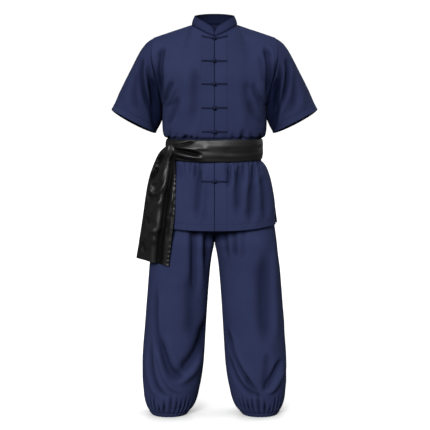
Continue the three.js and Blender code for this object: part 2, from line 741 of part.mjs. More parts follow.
function tailPoint(share, h, up) {
  const edge = TAIL(h);
  const angle = THREE.MathUtils.degToRad(TAIL_FACING);
  const x = mix(edge.left, edge.right, share);
  const reach = reachTowardsTail(h) + REST + SATIN;
  const p = point(x, -(reach + x * Math.sin(angle)) / Math.cos(angle), h);
  let out = 0;
  for (const fold of TAIL_FOLDS) {
    const at = mix(fold.bottom, fold.top, up);
    out += fold.out * Math.exp(-(((share - at) / fold.width) ** 2));
  }
  for (const swag of TAIL_SWAGS) {
    const lowest = swag.h + swag.rise * ((share - 0.3) / 0.3) ** 2;
    const near = 1 - rise(0.45, 0.62, share);
    out += swag.out * near * Math.exp(-(((h - lowest) / swag.width) ** 2));
  }
  out *= 1 - rise(0.8, 1, up) * TAIL_GATHERED;
  return p.add(point(-Math.sin(angle), -Math.cos(angle), 0).multiplyScalar(out));
}

function makeSash() {
  const satin = { thickness: SATIN, material: BLACK_SATIN };
  const wrap = steps(SASH_WRAP_ROWS).map((share) => {
    const h = mix(SASH_LOW_H + REST, SASH_HIGH_H - REST, share);
    return bodyRing(h, sashOut(h));
  });
  const tail = steps(TAIL_ROWS).map((up) =>
    steps(TAIL_COLUMNS).map((share) => {
      const low = mix(TAIL_BOTTOM.left, TAIL_BOTTOM.right, share);
      return tailPoint(share, mix(low, TAIL_TOP_H, up), up);
    }),
  );
  return [
    clothMesh("sash_wrap", wrap, { ring: true, ...satin }),
    clothMesh("sash_tail", tail, satin),
    makeKnot(),
  ];
}

// The tie sits against the sash, a little proud of it
function makeKnot() {
  const s = JACKET(KNOT.h);
  const out = sashOut(KNOT.h) + REST;
  const sine = (Math.abs(KNOT.x) / (s.half + out)) ** (1 / BODY_ROUND);
  const turn = Math.asin(sine) / (Math.PI / 2);
  const seat = sectionPoint(KNOT.h, turn, out);
  const beside = sectionPoint(KNOT.h, turn + TURN_STEP, out);
  const along = beside.sub(seat).normalize();
  const away = along.clone().cross(point(0, 0, 1));
  seat.x *= -1;
  away.x *= -1;
  along.x *= -1;
  const geometry = new THREE.SphereGeometry(1, 12, 8).rotateX(Math.PI / 2);
  const frame = new THREE.Matrix4().makeBasis(
    along.multiplyScalar(KNOT.halfWidth),
    away.clone().multiplyScalar(KNOT.halfDepth),
    point(0, 0, KNOT.halfHeight),
  );
  geometry.applyMatrix4(frame);
  const middle = seat.addScaledVector(away, KNOT.halfDepth);
  geometry.translate(middle.x, middle.y, middle.z);
  const mesh = new THREE.Mesh(geometry, BLACK_SATIN);
  mesh.name = "sash_knot";
  return mesh;
}

// The place and normal of the jacket's outer face at x, h in front
function frontAt(x, h) {
  const rows = x >= 0 ? leftFrontRows : rightFrontRows;
  const place = Math.abs(x) < SEAM ? Math.sign(x || 1) * SEAM : x;
  let nearest = rows[0][0];
  for (let r = 0; r < rows.length - 1; r += 1) {
    for (let c = 0; c < rows[r].length - 1; c += 1) {
      const [a, b, d, e] = [rows[r][c], rows[r][c + 1], rows[r + 1][c], rows[r + 1][c + 1]];
      if (Math.hypot(a.x - place, a.z - h) < Math.hypot(nearest.x - place, nearest.z - h)) nearest = a;
      for (const face of [[a, b, d], [b, e, d]]) {
        const [p, q, s] = face.map((corner) => new THREE.Vector3(corner.x, corner.z, 0));
        const weights = THREE.Triangle.getBarycoord(point(place, h, 0), p, q, s, point(0, 0, 0));
        if (weights && Math.min(weights.x, weights.y, weights.z) > -1e-6) {
          const y = face[0].y * weights.x + face[1].y * weights.y + face[2].y * weights.z;
          const normal = face[1].clone().sub(face[0]).cross(face[2].clone().sub(face[0])).normalize();
          return { y, normal };
        }
      }
    }
  }
  return { y: nearest.y, normal: point(0, -1, 0) };
}

const onFront = (x, h, out) => {
  const seat = frontAt(x, h);
  return point(x, seat.y, h).addScaledVector(seat.normal, out);
};

// A closed tube through rings of points, each ring turning the same way
function tubeMesh(name, rings, material) {
  const count = rings[0].length;
  const points = rings.flat();
  const faces = [];
  for (let r = 0; r < rings.length - 1; r += 1) {
    for (let c = 0; c < count; c += 1) {
      const next = (c + 1) % count;
      const [a, b] = [r * count + c, r * count + next];
      faces.push([a, a + count, b], [b, a + count, b + count]);
    }
  }
  const middle = (ring) => ring.reduce((sum, p) => sum.add(p), point(0, 0, 0)).divideScalar(count);
  points.push(middle(rings[0]), middle(rings.at(-1)));
  const [first, last] = [points.length - 2, points.length - 1];
  const lastRing = (rings.length - 1) * count;
  for (let c = 0; c < count; c += 1) {
    const next = (c + 1) % count;
    faces.push([first, c, next], [last, lastRing + next, lastRing + c]);
  }
  return meshOf(name, points, faces, material);
}

// The knotted half of a frog, from its tail end to the ball: half its height, half its thickness and its lift
const KNOT_SIDE = [
  { x: -48, tall: 1, thick: 0.6, lift: 0 },
  { x: -46.5, tall: 3, thick: 1.8, lift: 0 },
  { x: -35, tall: 3.1, thick: 1.9, lift: 0 },
  { x: -23, tall: 3.1, thick: 1.9, lift: 0 },
  { x: -12.5, tall: 2.8, thick: 1.7, lift: 0 },
  { x: -9, tall: 2.2, thick: 1.6, lift: 3.6 },
  { x: -4.6, tall: 2.2, thick: 1.6, lift: 3.8 },
  { x: -3, tall: 3.6, thick: 3.6, lift: 1.8 },
  { x: 0, tall: 4.6, thick: 4.6, lift: 0.8 },
  { x: 3, tall: 3.5, thick: 3.5, lift: 1.9 },
  { x: 4.5, tall: 1, thick: 1, lift: 4.4 },
];
// The looped half: one strand from its end, round the ball and back, as x and offset in height
const LOOP_PATH = [
  [48, LOOP_APART],
  [36, LOOP_APART],
  [24, LOOP_APART],
  [12, LOOP_APART],
  ...[40, 85, 130, 180, 230, 275, 320].map((degrees) => {
    const angle = THREE.MathUtils.degToRad(degrees);
    return [LOOP_RING * Math.cos(angle), LOOP_RING * Math.sin(angle)];
  }),
  [12, -LOOP_APART],
  [24, -LOOP_APART],
  [36, -LOOP_APART],
  [48, -LOOP_APART],
];

function makeFrog(h, number) {
  const tilt = (x) => (number === 1 ? FROG_TOP_LIFT * (Math.abs(x) / FROG_END) ** 1.5 : 0);
  const turns = Array.from({ length: FROG_SIDES }, (_, k) => (2 * Math.PI * (k + 0.5)) / FROG_SIDES);
  const knotRings = KNOT_SIDE.map((s) =>
    turns.map((turn) => {
      const out = FROG_REST + s.lift + s.thick * (1 + Math.cos(turn));
      return onFront(s.x, h + tilt(s.x) + s.tall * Math.sin(turn), out);
    }),
  );
  const curve = new THREE.CatmullRomCurve3(LOOP_PATH.map(([x, up]) => point(x, up, 0)));
  const loopRings = LOOP_PATH.map((_, k) => {
    const t = k / (LOOP_PATH.length - 1);
    const at = curve.getPoint(t);
    const along = curve.getTangent(t);
    return turns.map((turn) => {
      const aside = LOOP_CORD * Math.sin(turn);
      const x = at.x - along.y * aside;
      const up = at.y + along.x * aside;
      return onFront(x, h + tilt(x) + up, FROG_REST + LOOP_CORD * (1 + Math.cos(turn)));
    });
  });
  return [
    tubeMesh("frog_" + number + "_knot", knotRings, NAVY_TRIM),
    tubeMesh("frog_" + number + "_loop", loopRings, NAVY_TRIM),
  ];
}

const garment = new THREE.Group();
garment.position.z = -NECK_H;
garment.add(...makeJacketPanels(), ...makeSleeves(), makeCollar(), ...makeTrousers(), ...makeSash());
FROG_HEIGHTS.forEach((h, k) => garment.add(...makeFrog(h, k + 1)));

const uniform = new THREE.Group();
uniform.add(garment);
export default uniform;
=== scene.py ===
"""Dresses a tai chi uniform, worn and empty: navy cloth, knotted frogs and a tied satin sash."""
import math

import bpy
import numpy as np
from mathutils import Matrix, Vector


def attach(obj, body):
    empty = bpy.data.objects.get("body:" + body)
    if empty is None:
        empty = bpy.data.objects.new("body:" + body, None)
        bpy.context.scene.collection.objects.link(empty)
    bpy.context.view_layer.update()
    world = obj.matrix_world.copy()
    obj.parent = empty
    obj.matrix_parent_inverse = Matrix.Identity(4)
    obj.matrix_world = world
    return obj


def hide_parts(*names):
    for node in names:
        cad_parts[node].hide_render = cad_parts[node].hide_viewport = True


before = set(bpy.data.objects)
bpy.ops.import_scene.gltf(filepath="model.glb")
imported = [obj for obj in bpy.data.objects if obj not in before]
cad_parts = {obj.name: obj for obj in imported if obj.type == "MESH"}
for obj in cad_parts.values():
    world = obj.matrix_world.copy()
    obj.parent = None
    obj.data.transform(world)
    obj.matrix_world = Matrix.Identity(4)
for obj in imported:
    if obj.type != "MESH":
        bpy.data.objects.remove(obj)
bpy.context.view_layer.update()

bl_info = {
    "name": "Tai chi uniform",
    "version": (1, 0, 0),
    "blender": (4, 5, 0),
    "location": "3D View > Sidebar > Uniform",
    "description": "Builds a worn, hollow tai chi uniform from its cut and its folds",
    "category": "Object",
}

# Sizes are in millimetres and heights (h) above the floor, and place() turns them into the frame
MM = 0.001
NECK_H = 1392
HEM_H = 680
HEM_SIDE_LIFT = 14
HEM_BAND = 22
VENT_TOP_H = 770
VENT_SPREAD = 5
VENT_SHARE = {"front": -1.7, "back": 0.4}
VENT_STITCH = 9
COLLAR_STITCH = {"high": 3.5, "low": 7}
TAIL_STITCH = {"left": 6, "right": 6, "low": 11}
SASH_LOW_H = 918.5
SASH_HIGH_H = 996.5
ARMPIT_H = 1112
NECK_SIDE = (81.5, 0, 1396)
SHOULDER_TIP = (214, 0, 1352)
NECK = {"front": (0, -72, 1354), "back": (0, 64, 1404)}
NECK_SHARE = 0.5
# Powers of the sections' curves, where 1 is an ellipse and less is squarer
BODY_ROUND = 0.84
LEG_ROUND = 0.9
SIDES = {"left": 1, "right": -1}
SEAM = 0.4
STITCH_LINE = 1.3
PLACKET = 45
GATHERS = 30
CASING_H = 16
# How much darker the cloth's inner face is made: a deeper tone of the wrong side, and painted shade
# inside the garment
WRONG_SIDE_AND_INNER_SHADE = 0.5


def rise(start, end, value):
    """0 before start, 1 after end, and smooth between them."""
    t = np.clip((np.asarray(value, float) - start) / (end - start), 0, 1)
    return t * t * (3 - 2 * t)


def mix(a, b, t):
    """a where t is 0, and b where it is 1."""
    return a + (b - a) * t


def bump(value, width):
    """1 at 0, and down smoothly to nearly nothing at twice the width."""
    return np.exp(-((value / width) ** 2))


def signed_power(value, power):
    """A power that keeps the sign."""
    return np.sign(value) * np.abs(value) ** power


class Table:
    """Measurements with named columns, read off a smooth curve through the rows."""

    def __init__(self, columns, rows):
        self.names = columns.split()
        self.rows = np.array(rows, float)

    def __call__(self, name, place):
        """A column's value at a place, level wherever the column turns back."""
        x = self.rows[:, 0]
        y = self.rows[:, self.names.index(name)]
        step = np.diff(x)
        rate = np.diff(y) / step
        slope = np.zeros(len(x))
        total = rate[:-1] + rate[1:]
        same_way = rate[:-1] * rate[1:] > 0
        slope[1:-1][same_way] = 2 * (rate[:-1] * rate[1:])[same_way] / total[same_way]
        at = np.clip(place, x[0], x[-1])
        k = np.clip(np.searchsorted(x, at, side="right") - 1, 0, len(x) - 2)
        t = (at - x[k]) / step[k]
        a, b = y[k], y[k + 1]
        da, db = slope[k] * step[k], slope[k + 1] * step[k]
        return a + t * da + t**2 * (3 * (b - a) - 2 * da - db) + t**3 * (2 * (a - b) + da + db)


JACKET = Table("h half front back", [
    (672, 224, 133, 124),
    (767, 216, 130, 121),
    (853, 200.5, 123, 114),
    (897, 185, 116, 107),
    (912, 174, 110, 101),
    (918, 167, 107, 98),
    (997, 167, 107, 98),
    (1001, 173.5, 112, 101),
    (1007, 180, 117, 104.5),
    (1030, 184.5, 121, 108),
    (1064, 186, 123.5, 111),
    (1112, 187, 124, 113),
])
CENTRE = {
    "front": Table("share y", [(0, -124), (0.3, -118), (0.64, -104), (0.84, -88.5), (1, -72)]),
    "back": Table("share y", [(0, 113), (0.3, 119), (0.62, 112), (0.84, 90), (1, 64)]),
}
ARMHOLE = Table("share x front back h", [
    (0, 187, 0, 0, 1112),
    (0.135, 188, -40, 38, 1128),
    (0.31, 197, -68, 64, 1174),
    (0.51, 213, -76, 74, 1234),
    (0.7, 221, -66, 64, 1288),
    (0.875, 219, -34, 34, 1332),
    (1, 214, 0, 0, 1352),
])
SLEEVE = Table("along top under full", [
    (0, 0, 0, 0),
    (0.05, 7, -2.5, 1),
    (0.12, 14, -5, 2),
    (0.22, 17, -8, 5),
    (0.5, 12, -11.5, 6),
    (0.75, 7, -7, 3),
    (1, 0, 0, 0),
])
SLEEVE_HEM_OUTER = (365.5, 1100)
SLEEVE_HEM_INNER = (207.5, 1018)
SLEEVE_HEM_HALF_DEPTH = 66
SLEEVE_HEM_BACK_DROP = 15
LEG = Table("h inner outer front back", [
    (0, 101.5, 227.5, 64, 64),
    (5, 99, 230, 66, 66),
    (17, 88, 238, 73, 73),
    (33, 75, 246, 81, 81),
    (48, 67.5, 251, 86, 87),
    (77, 58.5, 256.5, 92, 93),
    (136, 46, 261, 98, 99),
    (196, 38.5, 260.5, 100, 101),
    (314, 31, 252.5, 101, 102),
    (432, 23.5, 243, 103, 106),
    (549, 13.5, 233, 108, 113),
    (590, 7.2, 228.5, 110, 115),
    (628, 0.2, 224, 112.5, 117),
    (700, 0.2, 213, 115, 115),
    (800, 0.2, 197, 112, 106),
    (880, 0.2, 175, 105, 98),
    (905, 0.2, 164.9, 104.9, 95.9),
    (942, 0.2, 164.9, 104.9, 95.9),
])
CROTCH_H = 617
CROTCH_CURVE_H = 95
GAP_TOP_H = 628
LEG_TOP_H = 941
WAISTBAND = (941.6, 979)
CUFF_H = 33
TAIL = Table("h left right", [
    (548, -280, -161),
    (628, -269, -152),
    (689, -259, -145),
    (743, -251, -139),
    (800, -243, -137),
    (857, -232, -136.5),
    (897, -219, -137),
    (922, -209, -138),
    (947, -196, -139),
    (962, -183, -141),
    (972, -170, -144),
    (979, -158, -148),
])
TAIL_BOTTOM = (575, 556)
TAIL_TOP_H = 978
TAIL_FACING = math.radians(30)
TAIL_SWING = 5
KNOT_AT = (-156, 952)
KNOT_HALF = (15, 9, 26)

# Folds, each through three points of the view: x1 h1 x2 h2 x3 h3, then its width and how far it goes in.
# A ridge goes in by a minus depth.
JACKET_FRONT_FOLDS = [
    (-170, 1322, -190, 1250, -181, 1120, 11, 14),
    (170, 1322, 190, 1250, 181, 1120, 11, 14),
    (-182, 1300, -203, 1235, -196, 1165, 7, -4),
    (182, 1300, 203, 1235, 196, 1165, 7, -4),
    (-150, 1302, -170, 1240, -172, 1180, 10, 4),
    (152, 1296, 168, 1236, 170, 1176, 10, 4),
    (-138, 1205, -162, 1157, -176, 1108, 10, 8.5),
    (-131, 1195, -155, 1143, -173, 1105, 7, -4),
    (-98, 1250, -102, 1150, -118, 1030, 16, -4),
    (-66, 1250, -68, 1150, -86, 1012, 15, 5),
    (-120, 1156, -146, 1088, -174, 1034, 11, 6.5),
    (112, 1206, 118, 1135, 148, 1046, 15, 4.5),
    (136, 1203, 148, 1150, 178, 1118, 10, 6),
    (120, 1181, 131, 1132, 159, 1091, 9, -3),
    (84, 1240, 90, 1130, 108, 1020, 17, -3),
    (118, 1140, 146, 1080, 178, 1042, 10, 4),
    (-120, 914, -120, 890, -120, 846, 9, 5),
    (-68, 914, -68, 890, -66, 856, 7, 4),
    (-50, 914, -56, 813, -65, 700, 11, 7),
    (-38, 900, -42, 800, -48, 720, 9, -3),
    (-24, 836, -26, 767, -30, 686, 13, 5),
    (52, 914, 51, 872, 47, 820, 9, 6),
    (66, 914, 66, 860, 60, 790, 8, -3),
    (85, 914, 83, 823, 80, 716, 13, 9),
    (101, 914, 99, 883, 96, 842, 7, 4),
    (118, 914, 115, 860, 106, 770, 9, -4),
    (140, 914, 139, 883, 134, 826, 9, 6),
    (138, 856, 131, 785, 124, 690, 15, 9),
    (152, 914, 154, 860, 158, 790, 8, -3),
    (168, 876, 174, 800, 178, 700, 13, 7),
    (-92, 914, -90, 830, -96, 720, 15, -3),
]
JACKET_BACK_FOLDS = [
    (-176, 1310, -188, 1245, -178, 1135, 13, 9),
    (176, 1310, 188, 1245, 178, 1135, 13, 9),
    (-150, 1296, -166, 1236, -168, 1170, 10, 4),
    (152, 1290, 166, 1230, 168, 1168, 10, 4),
    (-120, 1215, -128, 1150, -152, 1070, 13, 7),
    (-96, 1190, -102, 1130, -126, 1062, 11, -4),
    (104, 1205, 118, 1140, 148, 1060, 13, 7),
    (84, 1180, 94, 1120, 116, 1052, 11, -4),
    (-34, 1150, -28, 1090, -36, 1030, 15, 4),
    (30, 1120, 26, 1070, 34, 1024, 14, 3),
    (-140, 914, -142, 870, -138, 800, 9, 5),
    (-112, 914, -110, 840, -104, 730, 13, 7),
    (-76, 914, -78, 860, -74, 790, 9, 4),
    (-40, 914, -44, 830, -52, 715, 13, 6),
    (-8, 914, -6, 870, -10, 810, 9, 4),
    (26, 914, 24, 850, 30, 760, 13, 6),
    (60, 914, 62, 870, 58, 800, 9, 4),
    (92, 914, 96, 830, 92, 705, 13, 8),
    (132, 914, 134, 860, 130, 770, 11, 5),
]
SLEEVE_FRONT_FOLDS = [
    (-246, 1288, -254, 1202, -208, 1050, 10, 12),
    (246, 1288, 252, 1202, 208, 1050, 10, 12),
    (-236, 1268, -240, 1190, -200, 1080, 7, -4),
    (236, 1268, 240, 1190, 200, 1080, 7, -4),
    (-222, 1290, -224, 1185, -196, 1070, 8, 11),
    (222, 1290, 224, 1185, 196, 1070, 8, 11),
    (-212, 1220, -214, 1130, -208, 1010, 11, 14),
    (212, 1220, 214, 1130, 208, 1010, 11, 14),
    (-266, 1240, -284, 1160, -262, 1078, 13, 5),
    (265, 1240, 283, 1160, 262, 1078, 13, 5),
    (-284, 1230, -306, 1160, -300, 1090, 14, -3),
    (286, 1224, 308, 1156, 304, 1090, 14, -3),
]
# Where the sleeve falls back beside the body
UNDERARM_HOLLOW = [(206, 1246, 200, 1125, 214, 960, 17, 46)]
SLEEVE_BACK_FOLDS = [
    (-244, 1280, -250, 1195, -212, 1070, 12, 8),
    (246, 1276, 256, 1190, 220, 1066, 12, 8),
    (-268, 1236, -284, 1150, -256, 1076, 13, 5),
    (270, 1232, 286, 1150, 262, 1080, 13, 5),
    (-232, 1262, -236, 1180, -204, 1084, 7, -4),
    (234, 1262, 238, 1180, 206, 1084, 7, -4),
]
TROUSER_FRONT_FOLDS = [
    (-66, 780, -72, 600, -64, 430, 14, 13),
    (-50, 780, -50, 620, -46, 480, 10, -5),
    (-25, 760, -27, 640, -34, 526, 10, 10),
    (-94, 780, -96, 640, -90, 500, 14, -3),
    (-205, 500, -207, 322, -176, 200, 10, 7),
    (-190, 440, -190, 320, -160, 220, 9, -3),
    (-188, 330, -164, 190, -92, 150, 15, 15),
    (-200, 290, -178, 158, -116, 94, 9, -9),
    (-225, 310, -219, 149, -158, 76, 9, 8),
    (-240, 260, -236, 140, -190, 70, 8, -4),
    (-24, 380, -60, 238, -150, 168, 22, 17),
    (-30, 290, -74, 180, -140, 126, 13, -7),
    (42, 340, 84, 194, 172, 88, 10, 15),
    (60, 300, 100, 178, 162, 106, 8, -7),
    (48, 240, 88, 132, 168, 76, 8, 10),
    (112, 170, 130, 112, 174, 78, 7, 7),
    (242, 220, 206, 150, 170, 94, 11, 13),
    (252, 180, 224, 124, 188, 86, 9, -6),
    (188, 250, 184, 165, 172, 100, 14, 6),
    (34, 780, 37, 655, 44, 570, 9, 8),
    (66, 780, 68, 650, 74, 570, 10, 8),
    (98, 780, 100, 650, 100, 560, 11, 4),
    (178, 620, 175, 429, 183, 240, 26, 10),
    (209, 660, 215, 465, 221, 270, 11, -5),
    (110, 560, 104, 430, 112, 300, 26, -3),
    (-130, 540, -128, 420, -122, 300, 26, -3),
    (-84, 540, -82, 400, -80, 270, 24, 7),
]
TROUSER_BACK_FOLDS = [
    (-30, 640, -80, 585, -150, 575, 13, 9),
    (34, 632, 84, 575, 158, 560, 13, 9),
    (-30, 612, -84, 556, -140, 548, 9, -4),
    (30, 604, 84, 546, 146, 534, 9, -4),
    (-80, 520, -86, 400, -74, 270, 15, 7),
    (96, 500, 90, 380, 104, 250, 15, 7),
    (-150, 540, -156, 400, -146, 260, 14, 4),
    (160, 530, 154, 400, 166, 250, 14, 4),
    (-200, 420, -206, 290, -170, 150, 12, 7),
    (206, 430, 212, 300, 172, 140, 12, 7),
    (-50, 300, -80, 190, -150, 84, 11, 10),
    (48, 290, 86, 180, 160, 80, 11, 10),
    (-226, 240, -214, 140, -170, 76, 10, 6),
    (230, 230, 216, 130, 176, 74, 10, 6),
]
SASH_FOLDS = [
    (-150, 966, -95, 955, -38, 941, 6, 10),
    (-148, 951, -96, 940, -36, 932, 5, -5),
    (-146, 972, -106, 979, -58, 996, 5, 5),
    (-142, 962, -90, 969, -10, 962, 9, -4),
    (-140, 937, -100, 927, -46, 921, 4, 3),
    (-40, 976, 0, 970, 60, 972, 12, -2),
    (20, 952, 90, 950, 160, 952, 10, 1.5),
]
SASH_BACK_FOLDS = [
    (-150, 974, -60, 966, 40, 970, 6, 2.5),
    (-120, 946, 0, 950, 120, 944, 6, -2),
    (-20, 980, 70, 984, 150, 978, 5, 2),
    (-150, 934, -40, 930, 60, 934, 5, 2),
    (40, 958, 100, 956, 150, 962, 5, 2),
]
# The hanging end's folds, which fan out of the knot
TAIL_FOLDS = [
    (-167, 1000, -170, 886, -196, 768, 17, -9.5),
    (-188, 826, -200, 727, -219, 620, 18, -9.5),
    (-212, 668, -222, 602, -229, 518, 17, -8.5),
    (-145, 965, -152, 880, -168, 786, 8, 11),
    (-162, 834, -172, 744, -187, 646, 9, 14),
    (-182, 688, -190, 626, -199, 506, 10, 14),
    (-141, 940, -140, 850, -152, 765, 7, -4),
    (-143, 808, -159, 752, -176, 698, 10, -6),
    (-148, 745, -160, 700, -166, 636, 9, 4),
    (-238, 852, -210, 806, -170, 858, 9, -8),
    (-174, 916, -189, 862, -228, 840, 8, -5),
    (-198, 908, -211, 874, -234, 858, 8, 8),
    (-194, 928, -210, 897, -230, 872, 6, -4),
    (-172, 944, -190, 922, -207, 903, 9, 9),
    (-176, 962, -190, 945, -205, 924, 4, -4),
    (-240, 806, -214, 789, -190, 800, 10, 5),
    (-244, 738, -215, 763, -190, 796, 17, -7),
    (-246, 730, -226, 706, -204, 714, 14, 4),
    (-258, 648, -236, 664, -208, 696, 17, -7),
    (-264, 642, -244, 611, -224, 600, 14, 4),
]
# The sash presses the jacket flat between these heights, and its folds fade out at both
PRESSED_LOW = (909, 917)
PRESSED_HIGH = (997, 1004)
# Pinches where the sash gathers the jacket: x at their own height, width, depth and lean over 30 mm
PINCH_H = {"above": 1003, "below": 911}
PINCHES_ABOVE = [
    (-160, 6, 6, 4), (-136, 6, 4, 6), (-101, 8, 10, 6), (-80, 5, 7, -3), (-58, 5, 4, 4), (34, 5, 2.5, 3),
    (64, 6, 5, -4), (97, 8, 10, 5), (131, 7, 5, -5), (161, 6, 7, 4),
]
PINCHES_BELOW = [
    (-150, 6, 6, 0), (-133, 5, 7, 1), (-106, 4, 6, -1), (-84, 4, 5, 0), (-67, 4, 5, 1), (-50, 5, 6, 0),
    (-36, 4, 3, 0), (40, 4, 3.5, 0), (52, 5, 8, 1), (70, 4, 5, -1), (86, 6, 9, 0), (103, 5, 7, 1),
    (122, 4, 5, 0), (138, 5, 9, 0), (157, 6, 7, -1),
]

FROG_HEIGHTS = (1345.5, 1267.5, 1188.6, 1106.6, 1024.5, 852)
FROG_TOP_LIFT = 9
FROG_END = 45
CORD_RADIUS = 1.45
LOOP_APART = 1.65
LOOP_RING = (8.6, 6.4)
KNOT_BALL = 5.4
RIB_PITCH = 0.55

# The studio's suns: azimuth, elevation and spread in degrees, the setting for its strength, and a share
SUNS = {
    "key": (-16, 26, 24, "key", 1),
    "top": (10, 78, 70, "top", 1),
    "fill": (50, 8, 60, "fill", 1),
    "rear": (180, 15, 20, "rear", 1),
    "side": (128, 20, 24, "rear", 0.4),
}
# The camera's place and target, in the frame's metres
CAMERA_AT = (0.0018, -4.2, -0.242)
CAMERA_TARGET = (0.0018, 0, -0.669)
CAMERA_LENS = 98.67

# What one piece leaves for another to lie on: points and normals of its outer face
SURFACES = {}


def place(points):
    """Millimetres above the floor, to the frame's metres."""
    return (np.asarray(points, float) - (0, 0, NECK_H)) * MM


def graded(*zones):
    """Places along an edge, from zones of (end, spacing)."""
    stops = [zones[0][0]]
    for end, spacing in zones[1:]:
        count = max(1, round((end - stops[-1]) / spacing))
        stops.extend(np.linspace(stops[-1], end, count + 1)[1:])
    return np.array(stops)


def denser_ends(count, start=0.0, end=0.6):
    """Shares from 0 to 1, closer together by those amounts at the start and at the end."""
    t = np.linspace(0, 1, count)
    return t - start * t * (1 - t) ** 2 + end * t**2 * (1 - t)


def folds(rows, x, h, rim=0.28):
    """How far in the folds take the cloth at each point of the view."""
    total = np.zeros_like(x)
    t = np.linspace(0, 1, 13)
    for x1, h1, x2, h2, x3, h3, width, depth in rows:
        line_x = x1 * (1 - t) * (1 - 2 * t) + 4 * x2 * t * (1 - t) + x3 * t * (2 * t - 1)
        line_h = h1 * (1 - t) * (1 - 2 * t) + 4 * h2 * t * (1 - t) + h3 * t * (2 * t - 1)
        reach = 4 * width
        near = (x > line_x.min() - reach) & (x < line_x.max() + reach)
        near &= (h > line_h.min() - reach) & (h < line_h.max() + reach)
        if not near.any():
            continue
        px, ph = x[near], h[near]
        best = np.full(px.shape, np.inf)
        share = np.zeros(px.shape)
        aside = np.zeros(px.shape)
        for k in range(len(t) - 1):
            dx, dh = line_x[k + 1] - line_x[k], line_h[k + 1] - line_h[k]
            along = np.clip(((px - line_x[k]) * dx + (ph - line_h[k]) * dh) / (dx * dx + dh * dh), 0, 1)
            off_x, off_h = px - line_x[k] - along * dx, ph - line_h[k] - along * dh
            away = np.hypot(off_x, off_h)
            closer = away < best
            best = np.where(closer, away, best)
            share = np.where(closer, t[k] + along * (t[k + 1] - t[k]), share)
            aside = np.where(closer, np.sign(dx * off_h - dh * off_x) * away, aside)
        fade = rise(0, 0.24, share) * (1 - rise(0.72, 1, share))
        narrow = width * (0.6 + 0.4 * fade)
        shape = bump(aside, narrow) - rim * bump(aside - 1.9 * narrow, narrow)
        total[near] += depth * fade * shape
    return total


def floored(out, lowest, ease):
    """Never much below the lowest, and soft where it gets there."""
    return lowest + ease * np.logaddexp(0, (out - lowest) / ease)


def painted_fold_shade(out, depth=9):
    """Painted shade in the folds: darker the deeper the cloth goes in."""
    return 0.52 * np.clip(-out / depth, 0, 1)


def pinches(rows, x, h, from_h):
    """How far in the sash's gathers take the jacket."""
    total = np.zeros_like(x)
    for at, width, depth, lean in rows:
        total += depth * bump(x - at - lean * (h - from_h) / 30, width)
    return total


def ripple(x, h, size=1.0):
    """Slight unevenness of hanging cloth."""
    slow = np.sin(x / 31 + 1.3 * np.sin(h / 83)) * np.sin(h / 57 + 0.9 * np.sin(x / 41 + 2))
    quick = np.sin(x / 13.7 + 2.1 * np.sin(h / 47 + 1)) * np.sin(h / 29 + 1.7 * np.sin(x / 37))
    return size * (0.6 * slow + 0.22 * quick)


def grid_normals(points, ring=False):
    """The outward direction at each point of a sheet's grid."""
    if ring:
        across = np.roll(points, -1, 1) - np.roll(points, 1, 1)
    else:
        across = np.gradient(points, axis=1)
    normals = np.cross(across, np.gradient(points, axis=0))
    return normals / np.maximum(np.linalg.norm(normals, axis=-1, keepdims=True), 1e-9)


def pushed(points, out, ring=False):
    """The points moved out along the sheet's own normals."""
    return points + grid_normals(points, ring) * out[..., None]


def select_only(obj):
    """Selects one object and makes it the active one."""
    bpy.ops.object.select_all(action="DESELECT")
    obj.select_set(True)
    bpy.context.view_layer.objects.active = obj


def linked(name, data):
    """A new object in the scene."""
    obj = bpy.data.objects.new(name, data)
    bpy.context.scene.collection.objects.link(obj)
    return obj


def smoothed(obj, angle=50):
    """Shades smooth, but for edges sharper than the angle."""
    select_only(obj)
    bpy.ops.object.shade_smooth_by_angle(angle=math.radians(angle))


def faced_outward(obj):
    """Turns every face of a closed mesh outward."""
    select_only(obj)
    bpy.ops.object.mode_set(mode="EDIT")
    bpy.ops.mesh.select_all(action="SELECT")
    bpy.ops.mesh.normals_make_consistent(inside=False)
    bpy.ops.object.mode_set(mode="OBJECT")


def apply_modifiers(obj):
    """Applies all of an object's modifiers."""
    select_only(obj)
    for modifier in list(obj.modifiers):
        bpy.ops.object.modifier_apply(modifier=modifier.name)


